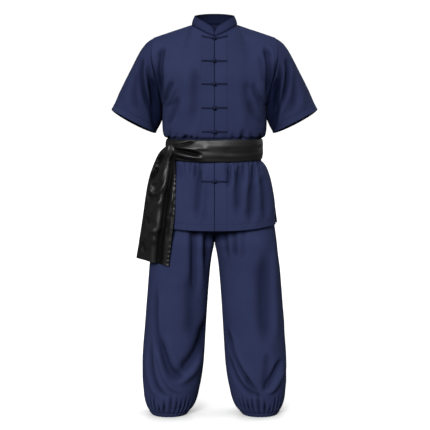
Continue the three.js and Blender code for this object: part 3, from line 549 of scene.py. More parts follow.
def cloth_sheet(name, points, thickness, ring=False, worn_and_shaded=None):
    """A sheet of cloth from rows of outer points, low to high, and left to right as seen from outside."""
    rows, columns = points.shape[:2]
    index = np.arange(rows * columns).reshape(rows, columns)
    wide = points
    if ring:
        index = np.concatenate([index, index[:, :1]], 1)
        wide = np.concatenate([points, points[:, :1]], 1)
    quads = np.stack([index[:-1, :-1], index[:-1, 1:], index[1:, 1:], index[1:, :-1]], -1).reshape(-1, 4)
    mesh = bpy.data.meshes.new(name)
    mesh.from_pydata(place(points.reshape(-1, 3)).tolist(), [], quads.tolist())
    steps_u = np.linalg.norm(np.diff(wide, axis=1), axis=-1).mean(0)
    steps_v = np.linalg.norm(np.diff(wide, axis=0), axis=-1).mean(1)
    u = np.concatenate([[0], np.cumsum(steps_u)]) * MM
    v = np.concatenate([[0], np.cumsum(steps_v)]) * MM
    uv = np.stack(np.meshgrid(u, v), -1)
    corners = np.stack([uv[:-1, :-1], uv[:-1, 1:], uv[1:, 1:], uv[1:, :-1]], 2)
    mesh.uv_layers.new(name="cut").data.foreach_set("uv", corners.ravel())
    wear_and_shade = mesh.attributes.new("wear_and_shade", "FLOAT", "POINT")
    wear_and_shade.data.foreach_set("value", (np.zeros((rows, columns)) if worn_and_shaded is None else worn_and_shaded).ravel())
    obj = linked(name, mesh)
    wall = obj.modifiers.new("Wall", "SOLIDIFY")
    wall.thickness = thickness * MM
    wall.offset = -1
    apply_modifiers(obj)
    wear_and_shade = np.zeros(len(obj.data.vertices), np.float32)
    obj.data.attributes["wear_and_shade"].data.foreach_get("value", wear_and_shade)
    # The inner face is made darker: a deeper tone of the wrong side, and painted shade inside the garment
    wear_and_shade[rows * columns:] += WRONG_SIDE_AND_INNER_SHADE * (worn_and_shaded is not None)
    obj.data.attributes["wear_and_shade"].data.foreach_set("value", np.minimum(wear_and_shade, 1))
    smoothed(obj)
    return obj


def finish_piece(obj, material, nodes):
    """Gives a piece its finish, its body and the nodes that it stands for."""
    obj.data.materials.clear()
    obj.data.materials.append(material)
    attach(obj, "root")
    if nodes:
        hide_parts(*nodes)


# The surfaces that the garment is cut to


def section(h, turn, out=0.0):
    """The body at a height: turn is 0 at the centre front, 1 at the side and 2 at the centre back."""
    h, turn, out = np.broadcast_arrays(np.asarray(h, float), np.asarray(turn, float), out)
    angle = turn * math.pi / 2
    depth = np.where(turn <= 1, JACKET("front", h), JACKET("back", h))
    x = (JACKET("half", h) + out) * signed_power(np.sin(angle), BODY_ROUND)
    y = -(depth + out) * signed_power(np.cos(angle), BODY_ROUND)
    return np.stack([x, y, h], -1)


def neckline(share, start):
    """The neck's edge, from the centre at 0 to the side at 1."""
    angle = np.asarray(share, float) * math.pi / 2
    h = mix(start[2], NECK_SIDE[2], np.sin(angle) ** (1.3 if start[1] < 0 else 2.6))
    return np.stack([NECK_SIDE[0] * np.sin(angle), start[1] * np.cos(angle), h], -1)


def top_edge(share, start):
    """A panel's top, along the neck and then the shoulder."""
    share = np.asarray(share, float)
    t = np.clip((share - NECK_SHARE) / (1 - NECK_SHARE), 0, 1)
    shoulder = np.array(NECK_SIDE, float) + t[..., None] * (np.array(SHOULDER_TIP) - NECK_SIDE)
    neck = neckline(np.clip(share / NECK_SHARE, 0, 1), start)
    return np.where((share <= NECK_SHARE)[..., None], neck, shoulder)


def armhole(share, face):
    """The armhole's edge, from the armpit at 0 to the shoulder's tip at 1."""
    return np.stack([ARMHOLE("x", share), ARMHOLE(face, share), ARMHOLE("h", share)], -1)


def yoke(across, up, face):
    """Above the armpit a panel spans four edges: armpit section, centre line, armhole and top."""
    across, up = np.broadcast_arrays(np.asarray(across, float), np.asarray(up, float))
    start = NECK[face]

    def bottom(t):
        """The body's section at the armpit."""
        return section(ARMPIT_H, t if face == "front" else 2 - t)

    def top(t):
        """The top edge, with its corner softened lower down."""
        reach = 0.34 * (1 - up) * np.sin(math.pi * t)
        steps = np.linspace(-1, 1, 11)
        weights = np.cos(steps * math.pi / 2.2)
        blurred = sum(weight * top_edge(t + step * reach, start) for step, weight in zip(steps, weights))
        return blurred / weights.sum()

    lifted = up * up * (2 - up)
    centre = np.stack([0 * up, CENTRE[face]("y", up), mix(ARMPIT_H, start[2], up)], -1)
    a, u = across[..., None], lifted[..., None]
    ends = [mix(bottom(np.array(t)), top_edge(t, start), u) for t in (0.0, 1.0)]
    reach = 1 + 3 * np.clip(1 - up[..., None] / 0.55, 0, 1) ** 3
    points = bottom(across) * (1 - u) + top(across) * u
    return points + (centre - ends[0]) * (1 - a) + (armhole(up, face) - ends[1]) * a**reach


# How far a front's first columns stand from the centre
FRONT_FIXED = graded((0, 0), (4, 0.8), (12, 2.6), (44, 4), (52, 1), (58, 3))


def row_shares(x_of, face, count):
    """Shares across a row. In front the first columns stand at fixed distances from the centre."""
    if face == "back":
        return denser_ends(count + len(FRONT_FIXED))
    fine = np.linspace(0, 1, 500)
    start = np.interp(FRONT_FIXED, x_of(fine), fine)
    return np.concatenate([start, start[-1] + (1 - start[-1]) * denser_ends(count + 1)[1:]])


# Heights of a panel's rows above the hem, up to the armpit
HEM_ROWS = graded((0, 0), (3, 1), (HEM_BAND - 2, 4.2), (HEM_BAND + 3, 1), (220, 4), (313, 3.4),
                  (336, 1.2), (360, 2.4), (ARMPIT_H - HEM_H - 4, 4))


def panel_points(face, columns, yoke_rows):
    """Half a panel's points, with the share of each across the panel and up its yoke."""
    is_front = face == "front"
    inward = 1 if is_front else -1
    turn_of = (lambda t: t) if is_front else (lambda t: 2 - t)
    yoke_ups = denser_ends(yoke_rows, 0, 0.5)
    rows, shares = [], []
    for above in HEM_ROWS:
        across = row_shares(lambda t: section(HEM_H + above, turn_of(t))[..., 0], face, columns)
        h = HEM_H + above + HEM_SIDE_LIFT * rise(0.05, 0.88, across) * (1 - rise(0, 90, above))
        spread = VENT_SPREAD * (1 - rise(HEM_H, VENT_TOP_H, h)) * rise(0.8, 1, across)
        points = section(h, turn_of(across), spread * VENT_SHARE[face])
        points[:, 1] -= inward * spread * rise(0.85, 1, across)
        rows.append(points)
        shares.append(across)
    for up in yoke_ups:
        across = row_shares(lambda t: yoke(t, up, face)[..., 0], face, columns)
        rows.append(yoke(across, up, face))
        shares.append(across)
    points = np.array(rows)
    points[..., 1] -= inward * SEAM / 2
    ups = np.zeros(points.shape[:2])
    ups[len(HEM_ROWS):] = yoke_ups[:, None]
    return points, np.array(shares), ups


def panel_sewing(points, across, ups, is_front):
    """Pressed seams, the turned hem and the stitch lines of a half panel: how far out, and their wear,
    with painted shade under the arm and along the neckline.
    """
    x, h = np.abs(points[..., 0]), points[..., 2]
    length = np.linalg.norm(np.diff(points, axis=1), axis=-1)
    from_start = np.concatenate([np.zeros((len(points), 1)), np.cumsum(length, 1)], 1)
    to_side = from_start[:, -1:] - from_start
    above_hem = h - h[:1]
    seam = bump(to_side, 2.4) * (1 - 0.6 * rise(VENT_TOP_H, VENT_TOP_H - 8, h))
    seam = seam * (1 - 0.7 * rise(0.6, 0.9, ups))
    hem_line = bump(above_hem - HEM_BAND, STITCH_LINE)
    vent_line = bump(to_side - VENT_STITCH, STITCH_LINE) * rise(VENT_TOP_H, VENT_TOP_H - 6, h)
    out = 0.2 * (1 - rise(HEM_BAND - 1, HEM_BAND + 1, above_hem))
    out -= 0.9 * seam + 0.35 * hem_line + 0.45 * vent_line
    worn_and_shaded = 0.7 * seam + 0.25 * hem_line + 0.4 * vent_line + 0.35 * bump(above_hem, 1.5)
    if is_front:
        middle = bump(x, STITCH_LINE)
        stitched = bump(x - PLACKET, STITCH_LINE)
        pucker = 0.5 + 0.5 * np.sin(h / 2.9 + 1.4 * np.sin(h / 11))
        out -= 1.5 * middle + (0.2 + 0.5 * pucker) * stitched
        out += 0.45 * rise(PLACKET + 1, PLACKET - 1, x) * rise(0, 3, x)
        worn_and_shaded += 0.25 * pucker * stitched + 0.8 * middle
    # Painted shade under the arm and along the neckline
    underarm_shade = bump(to_side, 20) * rise(1005, 1040, h) * (1 - rise(1220, 1300, h))
    neck_shade = rise(0.975, 1, ups) * (1 - rise(0.46, NECK_SHARE, across))
    return out, worn_and_shaded + 0.9 * underarm_shade + 0.6 * neck_shade


def half_panel(face, side, columns=58, yoke_rows=62):
    """Half a panel from the centre to the side: its points, how far they move out, and its wear with
    painted shade.
    """
    is_front = face == "front"
    points, across, ups = panel_points(face, columns, yoke_rows)
    x, h = side * points[..., 0], points[..., 2]
    edge = 1 - rise(0.88, 1, across)
    free = 1 - rise(*PRESSED_LOW, h) + rise(*PRESSED_HIGH, h)
    placket = rise(0, 0.12, across) if is_front else 1.0
    strength = np.where(ups > 0, 1 - rise(0.9, 1, ups), free) * edge * placket
    out = -folds(JACKET_FRONT_FOLDS if is_front else JACKET_BACK_FOLDS, x, h) * strength
    out += ripple(x if is_front else x + 300, h) * free * edge
    puff_top = 1030 + 14 * np.sin(x / 15 + 2 * np.sin(x / 47))
    above = rise(986, 996, h) * (1 - rise(1001, puff_top, h))
    below = rise(826, 908, h) * (1 - rise(921, 930, h))
    mirror = 1 if is_front else -1
    out -= pinches(PINCHES_ABOVE, mirror * x, h, PINCH_H["above"]) * above * edge
    out -= pinches(PINCHES_BELOW, mirror * x, h, PINCH_H["below"]) * below * edge
    sewn, worn_and_shaded = panel_sewing(points, across, ups, is_front)
    out += sewn
    # Wear, and painted shade in the folds
    return points, out, np.clip(worn_and_shaded + painted_fold_shade(out), 0, 1)


def mirrored(grid):
    """A grid of points on the other side, in its own left to right."""
    return grid[:, ::-1] * (-1, 1, 1)


def on_side(side, points, worn_and_shaded):
    """A left piece's points and its wear with painted shade, or their mirror image for the right."""
    if side > 0:
        return points, worn_and_shaded
    return mirrored(points), worn_and_shaded[:, ::-1]


def turned_edges(points, side):
    """Turns a leg's two edges in at its inseam, and laps one leg behind the other above the crotch."""
    upper = rise(GAP_TOP_H - 4, GAP_TOP_H, points[:, :1, 2])
    deep, lap = (3.6, -7) if side > 0 else (1.4, 0)
    for end, inward in ((0, 1), (-1, -1)):
        edge = points[:, end][:, None]
        folded = edge + np.stack([mix(2.2, 0, upper), inward * mix(0.05, deep, upper), 0 * upper], -1)
        lapped = edge + np.stack([mix(4.5, lap, upper), inward * mix(0.1, deep, upper), 0 * upper], -1)
        pair = [lapped, folded, points] if end == 0 else [points, folded, lapped]
        points = np.concatenate(pair, 1)
    return points


def keep_surface(name, points, ring=False):
    """Keeps a piece's outer face for what lies on it."""
    SURFACES[name] = (points, grid_normals(points, ring))


def front_depth(x, h):
    """The y of the jacket's front at x, h near the placket, without the dip between its fronts."""
    x, h = np.broadcast_arrays(np.asarray(x, float), np.asarray(h, float))
    depth = np.zeros(x.shape)
    for name, side in (("front_left", 1), ("front_right", -1)):
        points = SURFACES[name][0]
        if side < 0:
            points = mirrored(points)
        columns = [k for k in range(len(FRONT_FIXED)) if FRONT_FIXED[k] >= 3]
        table = np.array([np.interp(h.ravel(), points[:, k, 2], points[:, k, 1]) for k in columns])
        at = np.clip(side * x.ravel(), FRONT_FIXED[columns[0]], FRONT_FIXED[columns[-1]])
        place_in = np.interp(at, FRONT_FIXED[columns], np.arange(len(columns)))
        low = np.clip(place_in.astype(int), 0, len(columns) - 2)
        share = place_in - low
        pick = np.arange(at.size)
        y = table[low, pick] * (1 - share) + table[low + 1, pick] * share
        depth = np.where(side * x >= 0, y.reshape(x.shape), depth)
    return depth


def on_front(x, h, out):
    """Points that stand out from the jacket's front."""
    step = 1.5
    slope_x = (front_depth(x + step, h) - front_depth(x - step, h)) / (2 * step)
    slope_h = (front_depth(x, h + step) - front_depth(x, h - step)) / (2 * step)
    normal = np.stack([slope_x, -np.ones_like(slope_x), slope_h], -1)
    normal /= np.linalg.norm(normal, axis=-1, keepdims=True)
    return np.stack([x, front_depth(x, h), h], -1) + normal * np.asarray(out)[..., None]


def sleeve_hem(share, face):
    """The left sleeve's hem, from its inner corner at 0 to its outer one at 1."""
    angle = math.pi * share
    mid = [(a + b) / 2 for a, b in zip(SLEEVE_HEM_INNER, SLEEVE_HEM_OUTER)]
    half = [(b - a) / 2 for a, b in zip(SLEEVE_HEM_INNER, SLEEVE_HEM_OUTER)]
    drop = (SLEEVE_HEM_BACK_DROP if face == "back" else 0) * np.sin(angle) / math.hypot(*half)
    y = (-1 if face == "front" else 1) * SLEEVE_HEM_HALF_DEPTH * np.sin(angle)
    x = mid[0] - half[0] * np.cos(angle) + drop * half[1]
    return np.stack([x, y, mid[1] - half[1] * np.cos(angle) - drop * half[0]], -1)


def sleeve_face(share, along, face):
    """One face of the left sleeve: share from the underarm to the top, along from armhole to hem."""
    share, along = np.broadcast_arrays(np.asarray(share, float), np.asarray(along, float))
    outward = -1 if face == "front" else 1
    start, end = armhole(share, face), sleeve_hem(share, face)
    start[..., 1] += outward * SEAM / 2 * (np.abs(start[..., 1]) > 0)
    t = np.maximum(along, SEAM / np.linalg.norm(end - start, axis=-1))
    top = (1 - np.cos(math.pi * share)) / 2
    points = mix(start, end, t[..., None])
    points[..., 0] += 0.87 * SLEEVE("top", t) * top**2 + SLEEVE("under", t) * (1 - top) ** 2
    points[..., 2] += 0.5 * SLEEVE("top", t) * top**2
    points[..., 1] += outward * SLEEVE("full", t) * np.sin(math.pi * share)
    return points


def leg_section(h, q):
    """A trouser leg at a height: q runs from its front edge, round the outer side, to its back edge."""
    h, q = np.broadcast_arrays(np.asarray(h, float), np.asarray(q, float))
    inner, outer = LEG("inner", h), LEG("outer", h)
    depth = np.where(q <= 0.5, LEG("front", h), LEG("back", h))
    turn, angle = 2 * math.pi * q, math.pi * q
    middle, half = (inner + outer) / 2, (outer - inner) / 2
    tube_x = middle - half * signed_power(np.cos(turn), LEG_ROUND)
    tube_y = -depth * signed_power(np.sin(turn), LEG_ROUND)
    shell_x = inner + (outer - inner) * signed_power(np.sin(angle), BODY_ROUND)
    shell_y = -depth * signed_power(np.cos(angle), BODY_ROUND)
    t = np.clip((h - CROTCH_H + 5) / (CROTCH_CURVE_H + 15), 0, 1)
    upper = t**3 * (10 - 15 * t + 6 * t * t)
    return np.stack([mix(tube_x, shell_x, upper), mix(tube_y, shell_y, upper), h], -1)


def gather_wave(q, count=GATHERS):
    """0 between gathers and 1 in them, with uneven spacing."""
    uneven = q + 0.0035 * np.sin(2 * math.pi * 5 * q + 1) + 0.003 * np.sin(2 * math.pi * 3 * q + 2)
    return 0.5 - 0.5 * np.cos(2 * math.pi * count * uneven)


def cuff_gather(q):
    """How deep each gather of a cuff is."""
    return 7 + 3 * np.sin(2 * math.pi * 6 * q + 2) + 2 * np.sin(2 * math.pi * 11 * q + 1)


def body_ring(h, out, columns):
    """A ring round the body, from the centre front round the wearer's left side."""
    turn = np.linspace(0, 4, columns, endpoint=False)
    points = section(h, np.where(turn > 2, 4 - turn, turn), out)
    points[..., 0] *= np.where(turn > 2, -1, 1)
    return points


def sash_out(h):
    """How far the sash's outer face stands out from the jacket."""
    share = (h - SASH_LOW_H) / (SASH_HIGH_H - SASH_LOW_H)
    return 3.4 + 1.1 * np.sin(2 * math.pi * np.clip(share, 0, 1) - 0.4) ** 2


def tail_plane(h):
    """How far out the hanging end stands, in the direction that it faces."""
    near_edge = -TAIL("right", h)
    lying = 4.5 * rise(SASH_LOW_H - 14, SASH_LOW_H - 6, h)
    share = near_edge / (JACKET("half", h) + lying)
    forward = (JACKET("front", h) + lying) * (1 - share ** (2 / BODY_ROUND)) ** (BODY_ROUND / 2)
    swing = TAIL_SWING * (1 - rise(HEM_H, VENT_TOP_H, h))
    return near_edge * math.sin(TAIL_FACING) + forward * math.cos(TAIL_FACING) + swing + 2.6


# Finishes


def new_material(name):
    """A material with its node tree."""
    material = bpy.data.materials.new(name)
    material.use_nodes = True
    return material, material.node_tree


def add_node(tree, kind, inputs=None, **settings):
    """A new node with its settings and its sockets' values."""
    node = tree.nodes.new("ShaderNode" + kind)
    for setting, value in settings.items():
        setattr(node, setting, value)
    for socket, value in (inputs or {}).items():
        node.inputs[socket].default_value = value
    return node


def wire(tree, *links):
    """Joins sockets: each link is a node, its output, the next node and its input."""
    for source, output, target, socket in links:
        tree.links.new(source.outputs[output], target.inputs[socket])


def cloth_material(name, colour, deep, roughness, sheen, rib):
    """Woven cloth: a fine rib on the cut's own directions, uneven dye, darker seams, and painted shade in
    folds, hollows, gathers and inside.
    """
    material, tree = new_material(name)
    shader = tree.nodes["Principled BSDF"]
    shader.inputs["Specular IOR Level"].default_value = 0.02
    shader.inputs["Sheen Weight"].default_value = sheen
    shader.inputs["Sheen Roughness"].default_value = 0.45
    shader.inputs["Sheen Tint"].default_value = (0.42, 0.52, 0.9, 1)
    where = add_node(tree, "TexCoord")
    cut_map = add_node(tree, "UVMap", uv_map="cut")

    patches = add_node(tree, "TexNoise", {"Scale": 9, "Detail": 5})
    spread = add_node(tree, "MapRange", {"From Min": 0.3, "From Max": 0.7})
    tones = add_node(tree, "Mix", {"A": (*deep, 1), "B": (*colour, 1)}, data_type="RGBA")
    wire(tree, (where, "Object", patches, "Vector"), (patches, "Fac", spread, "Value"),
         (spread, "Result", tones, "Factor"))

    # Darkens toward the darkest tone by the mesh's attribute: worn seams and stitch lines, and painted
    # shade in folds, hollows, gathers and on the inner face
    worn_and_shaded = add_node(tree, "Attribute", attribute_name="wear_and_shade")
    darkening_share = add_node(tree, "Math", {1: 0.88}, operation="MULTIPLY")
    darkest = (0.11 * deep[0], 0.13 * deep[1], 0.22 * deep[2], 1)
    darkened_tone = add_node(tree, "Mix", {"B": darkest}, data_type="RGBA")
    wire(tree, (worn_and_shaded, "Fac", darkening_share, 0), (darkening_share, "Value", darkened_tone, "Factor"),
         (tones, "Result", darkened_tone, "A"))

    stretch = add_node(tree, "Mapping", {"Scale": (1, 0.08, 1)})
    slub = add_node(tree, "TexNoise", {"Scale": 900, "Detail": 3})
    thready = add_node(tree, "Mix", {"Factor": 0.16}, data_type="RGBA", blend_type="MULTIPLY")
    wire(tree, (cut_map, "UV", stretch, "Vector"), (stretch, "Vector", slub, "Vector"),
         (darkened_tone, "Result", thready, "A"), (slub, "Fac", thready, "B"),
         (thready, "Result", shader, "Base Color"))

    matt = add_node(tree, "MapRange", {"To Min": roughness - 0.06, "To Max": roughness + 0.06})
    wire(tree, (slub, "Fac", matt, "Value"), (matt, "Result", shader, "Roughness"))

    ribs = add_node(tree, "TexWave", {"Scale": math.pi / 10 / (RIB_PITCH * MM), "Distortion": 0.4},
                    bands_direction="DIAGONAL")
    height = add_node(tree, "Math", operation="ADD")
    relief = add_node(tree, "Bump", {"Strength": rib, "Distance": 0.0002})
    wire(tree, (cut_map, "UV", ribs, "Vector"), (ribs, "Fac", height, 0), (slub, "Fac", height, 1),
         (height, "Value", relief, "Height"), (relief, "Normal", shader, "Normal"))
    return material


def satin_material(name, colour, roughness):
    """Black satin: glossy along its long floats, its gloss dimmed in the folds as painted shade, with a
    fine cross thread.
    """
    material, tree = new_material(name)
    shader = tree.nodes["Principled BSDF"]
    shader.inputs["Anisotropic"].default_value = 0.3
    where = add_node(tree, "TexCoord")
    cut_map = add_node(tree, "UVMap", uv_map="cut")

    stretch = add_node(tree, "Mapping", {"Scale": (0.05, 1, 1)})
    floats = add_node(tree, "TexNoise", {"Scale": 1400})
    duller = (*[0.75 * c for c in colour], 1)
    brighter = (*[1.3 * c for c in colour], 1)
    tones = add_node(tree, "Mix", {"A": duller, "B": brighter}, data_type="RGBA")
    wire(tree, (cut_map, "UV", stretch, "Vector"), (stretch, "Vector", floats, "Vector"),
         (floats, "Fac", tones, "Factor"), (tones, "Result", shader, "Base Color"))

    soft = add_node(tree, "TexNoise", {"Scale": 26})
    matt = add_node(tree, "MapRange", {"To Min": roughness - 0.07, "To Max": roughness + 0.07})
    wire(tree, (where, "Object", soft, "Vector"), (soft, "Fac", matt, "Value"),
         (matt, "Result", shader, "Roughness"))

    # Painted shade: the gloss is dimmed where the folds go deep
    depth = add_node(tree, "Attribute", attribute_name="wear_and_shade")
    shade_dimmed_gloss = add_node(tree, "MapRange", {"To Min": 0.36, "To Max": 0.36 - 0.62})
    wire(tree, (depth, "Fac", shade_dimmed_gloss, "Value"), (shade_dimmed_gloss, "Result", shader, "Specular IOR Level"))

    relief = add_node(tree, "Bump", {"Strength": 0.12, "Distance": 0.0002})
    wire(tree, (floats, "Fac", relief, "Height"), (relief, "Normal", shader, "Normal"))
    return material


# Settings


class Cut(bpy.types.PropertyGroup):
    """Sizes of the cloth and its sewing."""

    cloth: bpy.props.FloatProperty(
        name="Cloth", description="Thickness of the jacket and trouser cloth, in mm",
        default=1.1, min=0.4, max=2)
    satin: bpy.props.FloatProperty(
        name="Satin", description="Thickness of the folded sash, in mm", default=2.0, min=0.6, max=3)
    stitch: bpy.props.FloatProperty(
        name="Stitch", description="Length of a topstitch, in mm", default=3.0, min=1.5, max=6)
    stitch_gap: bpy.props.FloatProperty(
        name="Stitch gap", description="Gap between two stitches, in mm", default=1.4, min=0.5, max=4)
    thread: bpy.props.FloatProperty(
        name="Thread", description="Radius of the sewing thread, in mm", default=0.32, min=0.1, max=0.8)


class Dye(bpy.types.PropertyGroup):
    """Colours of the cloth."""

    navy: bpy.props.FloatVectorProperty(
        name="Navy", description="Jacket and trouser cloth", subtype="COLOR", size=3,
        default=(0.0235, 0.0300, 0.0760), min=0, max=1)
    deep_navy: bpy.props.FloatVectorProperty(
        name="Deep navy", description="The cloth's darker patches", subtype="COLOR", size=3,
        default=(0.0200, 0.0256, 0.0650), min=0, max=1)
    cord: bpy.props.FloatVectorProperty(
        name="Cord", description="Knotted frogs", subtype="COLOR", size=3,
        default=(0.0125, 0.0165, 0.044), min=0, max=1)
    black: bpy.props.FloatVectorProperty(
        name="Black", description="Satin of the sash", subtype="COLOR", size=3,
        default=(0.0026, 0.0026, 0.0029), min=0, max=1)
    floor: bpy.props.FloatVectorProperty(
        name="Floor", description="Studio floor", subtype="COLOR", size=3,
        default=(0.92, 0.92, 0.92), min=0, max=1)


class Light(bpy.types.PropertyGroup):
    """Strengths of the studio's lights."""

    key: bpy.props.FloatProperty(
        name="Key", description="Soft sun from the front left, in watts to the square metre",
        default=4.4, min=0)
    top: bpy.props.FloatProperty(
        name="Top", description="Soft sun from overhead, in watts to the square metre",
        default=0.55, min=0)
    fill: bpy.props.FloatProperty(
        name="Fill", description="Soft sun from the right, in watts to the square metre",
        default=0.25, min=0)
    rear: bpy.props.FloatProperty(
        name="Rear", description="Soft suns from behind, in watts to the square metre",
        default=2.2, min=0)
    room: bpy.props.FloatProperty(
        name="Room", description="Light from all round", default=0.13, min=0)


def cut():
    """The scene's sizes of cloth and sewing."""
    return bpy.context.scene.uniform_cut


def dye():
    """The scene's colours."""
    return bpy.context.scene.uniform_dye


# Pieces


def material_for(slot):
    """The finish of a material slot, made once."""
    found = bpy.data.materials.get(slot + "_finish")
    if found:
        return found
    colours = dye()
    if slot == "black_satin":
        return satin_material(slot + "_finish", tuple(colours.black), 0.47)
    if slot == "navy_cord":
        deep = tuple(0.8 * c for c in colours.cord)
        return cloth_material(slot + "_finish", tuple(colours.cord), deep, roughness=0.5,
                              sheen=0.03, rib=0.5)
    return cloth_material(slot + "_finish", tuple(colours.navy), tuple(colours.deep_navy), roughness=0.8,
                          sheen=0.015, rib=0.3)


def add_cloth(name, points, slot="navy_cloth", ring=False, worn_and_shaded=None, nodes=()):
    """A finished sheet of cloth, with the size that it was cut to."""
    thickness = cut().satin if slot == "black_satin" else cut().cloth
    obj = cloth_sheet(name, points, thickness, ring, worn_and_shaded)
    finish_piece(obj, material_for(slot), nodes)
    return obj


class UNIFORM_OT_jacket_fronts(bpy.types.Operator):
    """Makes the jacket's two fronts"""

    bl_idname = "uniform.jacket_fronts"
    bl_label = "Jacket fronts"
    underlap = 14

    def front(self, name, side):
        """One front, the left one with its underlap behind the right."""
        grid, out, worn_and_shaded = half_panel("front", side)
        grid[:, 0, 0] = SEAM / 4
        points = pushed(grid, out)
        points[:, 0, 0] = SEAM / 4
        points, worn_and_shaded = on_side(side, points, worn_and_shaded)
        keep_surface("front_" + name, points)
        if side > 0:
            under = points[:, 3:4] * (0, 1, 1) + (0.1, 3.0, 0)
            points = np.concatenate([under - (self.underlap, 0, 0), under, points], 1)
            worn_and_shaded = np.pad(worn_and_shaded, ((0, 0), (2, 0)), "edge")
        add_cloth("jacket_front_" + name + "_cloth", points, worn_and_shaded=worn_and_shaded, nodes=["jacket_front_" + name])

    def execute(self, context):
        for name, side in SIDES.items():
            self.front(name, side)
        return {"FINISHED"}


class UNIFORM_OT_jacket_back(bpy.types.Operator):
    """Makes the jacket's back"""

    bl_idname = "uniform.jacket_back"
    bl_label = "Jacket back"

    def execute(self, context):
        left, left_out, left_worn = half_panel("back", 1, columns=48)
        right, right_out, right_worn = half_panel("back", -1, columns=48)
        grid = np.concatenate([left[:, ::-1], right[:, 1:] * (-1, 1, 1)], 1)
        out = np.concatenate([left_out[:, ::-1], right_out[:, 1:]], 1)
        worn_and_shaded = np.concatenate([left_worn[:, ::-1], right_worn[:, 1:]], 1)
        points = pushed(grid, out)
        keep_surface("back", points)
        add_cloth("jacket_back_cloth", points, worn_and_shaded=worn_and_shaded, nodes=["jacket_back"])
        return {"FINISHED"}


class UNIFORM_OT_sleeves(bpy.types.Operator):
    """Makes the two short sleeves"""

    bl_idname = "uniform.sleeves"
    bl_label = "Sleeves"
    # Half the least depth of the sleeve where its underside is hollow
    least_half = 3

    def sleeve(self, name, side):
        """One sleeve, a ring of cloth from armhole to hem."""
        along = 1 - denser_ends(64, 0.4, 0.5)[:, None]
        share = np.linspace(0, 1, 62)
        front = sleeve_face(share, along, "front")
        back = sleeve_face(share[1:-1][::-1], along, "back")
        grid = np.concatenate([front, back], 1)
        x, h = side * grid[..., 0], grid[..., 2]
        is_front = np.arange(grid.shape[1]) < len(share)
        strength = rise(0, 0.2, along) * rise(0, 0.12, 1 - along)
        round_top = np.concatenate([share, share[1:-1][::-1]])
        shown = np.sin(math.pi * round_top) ** 0.5
        deep = np.where(is_front, folds(SLEEVE_FRONT_FOLDS, x, h), folds(SLEEVE_BACK_FOLDS, x, h))
        to_hem = np.linalg.norm(grid - grid[:1], axis=-1)
        to_armhole = np.linalg.norm(grid - grid[-1:], axis=-1)
        hem_line = bump(to_hem - HEM_BAND, 1.4)
        seam = bump(to_armhole, 2.6)
        out = -deep * strength * shown + ripple(x + 90, h, 0.8) * strength
        seam = seam * (1 - 0.7 * rise(0.6, 0.9, round_top))
        out += 0.35 * (1 - rise(HEM_BAND - 1, HEM_BAND + 1, to_hem)) - 0.55 * hem_line - 0.6 * seam
        # Worn hem and seam lines, and painted shade in the folds
        worn_and_shaded = np.clip(0.4 * hem_line + 0.5 * seam * (1 - round_top**4) + painted_fold_shade(out), 0, 1)
        points = pushed(grid, out, ring=True)
        # Painted shade in the underarm hollow, and on the underside more toward the armhole
        hollow = folds(UNDERARM_HOLLOW, grid[..., 0], h, rim=0) * rise(0, 0.1, along)
        shaded = (0.14 + 0.4 * rise(0.05, 0.7, 1 - along)) * (1 - round_top**2)
        worn_and_shaded = np.clip(worn_and_shaded + 0.024 * hollow + shaded, 0, 1)
        y = points[..., 1]
        front_y = np.where(hollow > 0.5, np.minimum(y + hollow, np.minimum(y, -self.least_half)), y)
        back_y = np.maximum(y - 0.4 * hollow, np.minimum(y, self.least_half))
        points[..., 1] = np.where(is_front, front_y, back_y)
        points, worn_and_shaded = on_side(side, points, worn_and_shaded)
        keep_surface("sleeve_" + name, points, ring=True)
        add_cloth("sleeve_" + name + "_cloth", points, ring=True, worn_and_shaded=worn_and_shaded, nodes=["sleeve_" + name])

    def execute(self, context):
        for name, side in SIDES.items():
            self.sleeve(name, side)
        return {"FINISHED"}


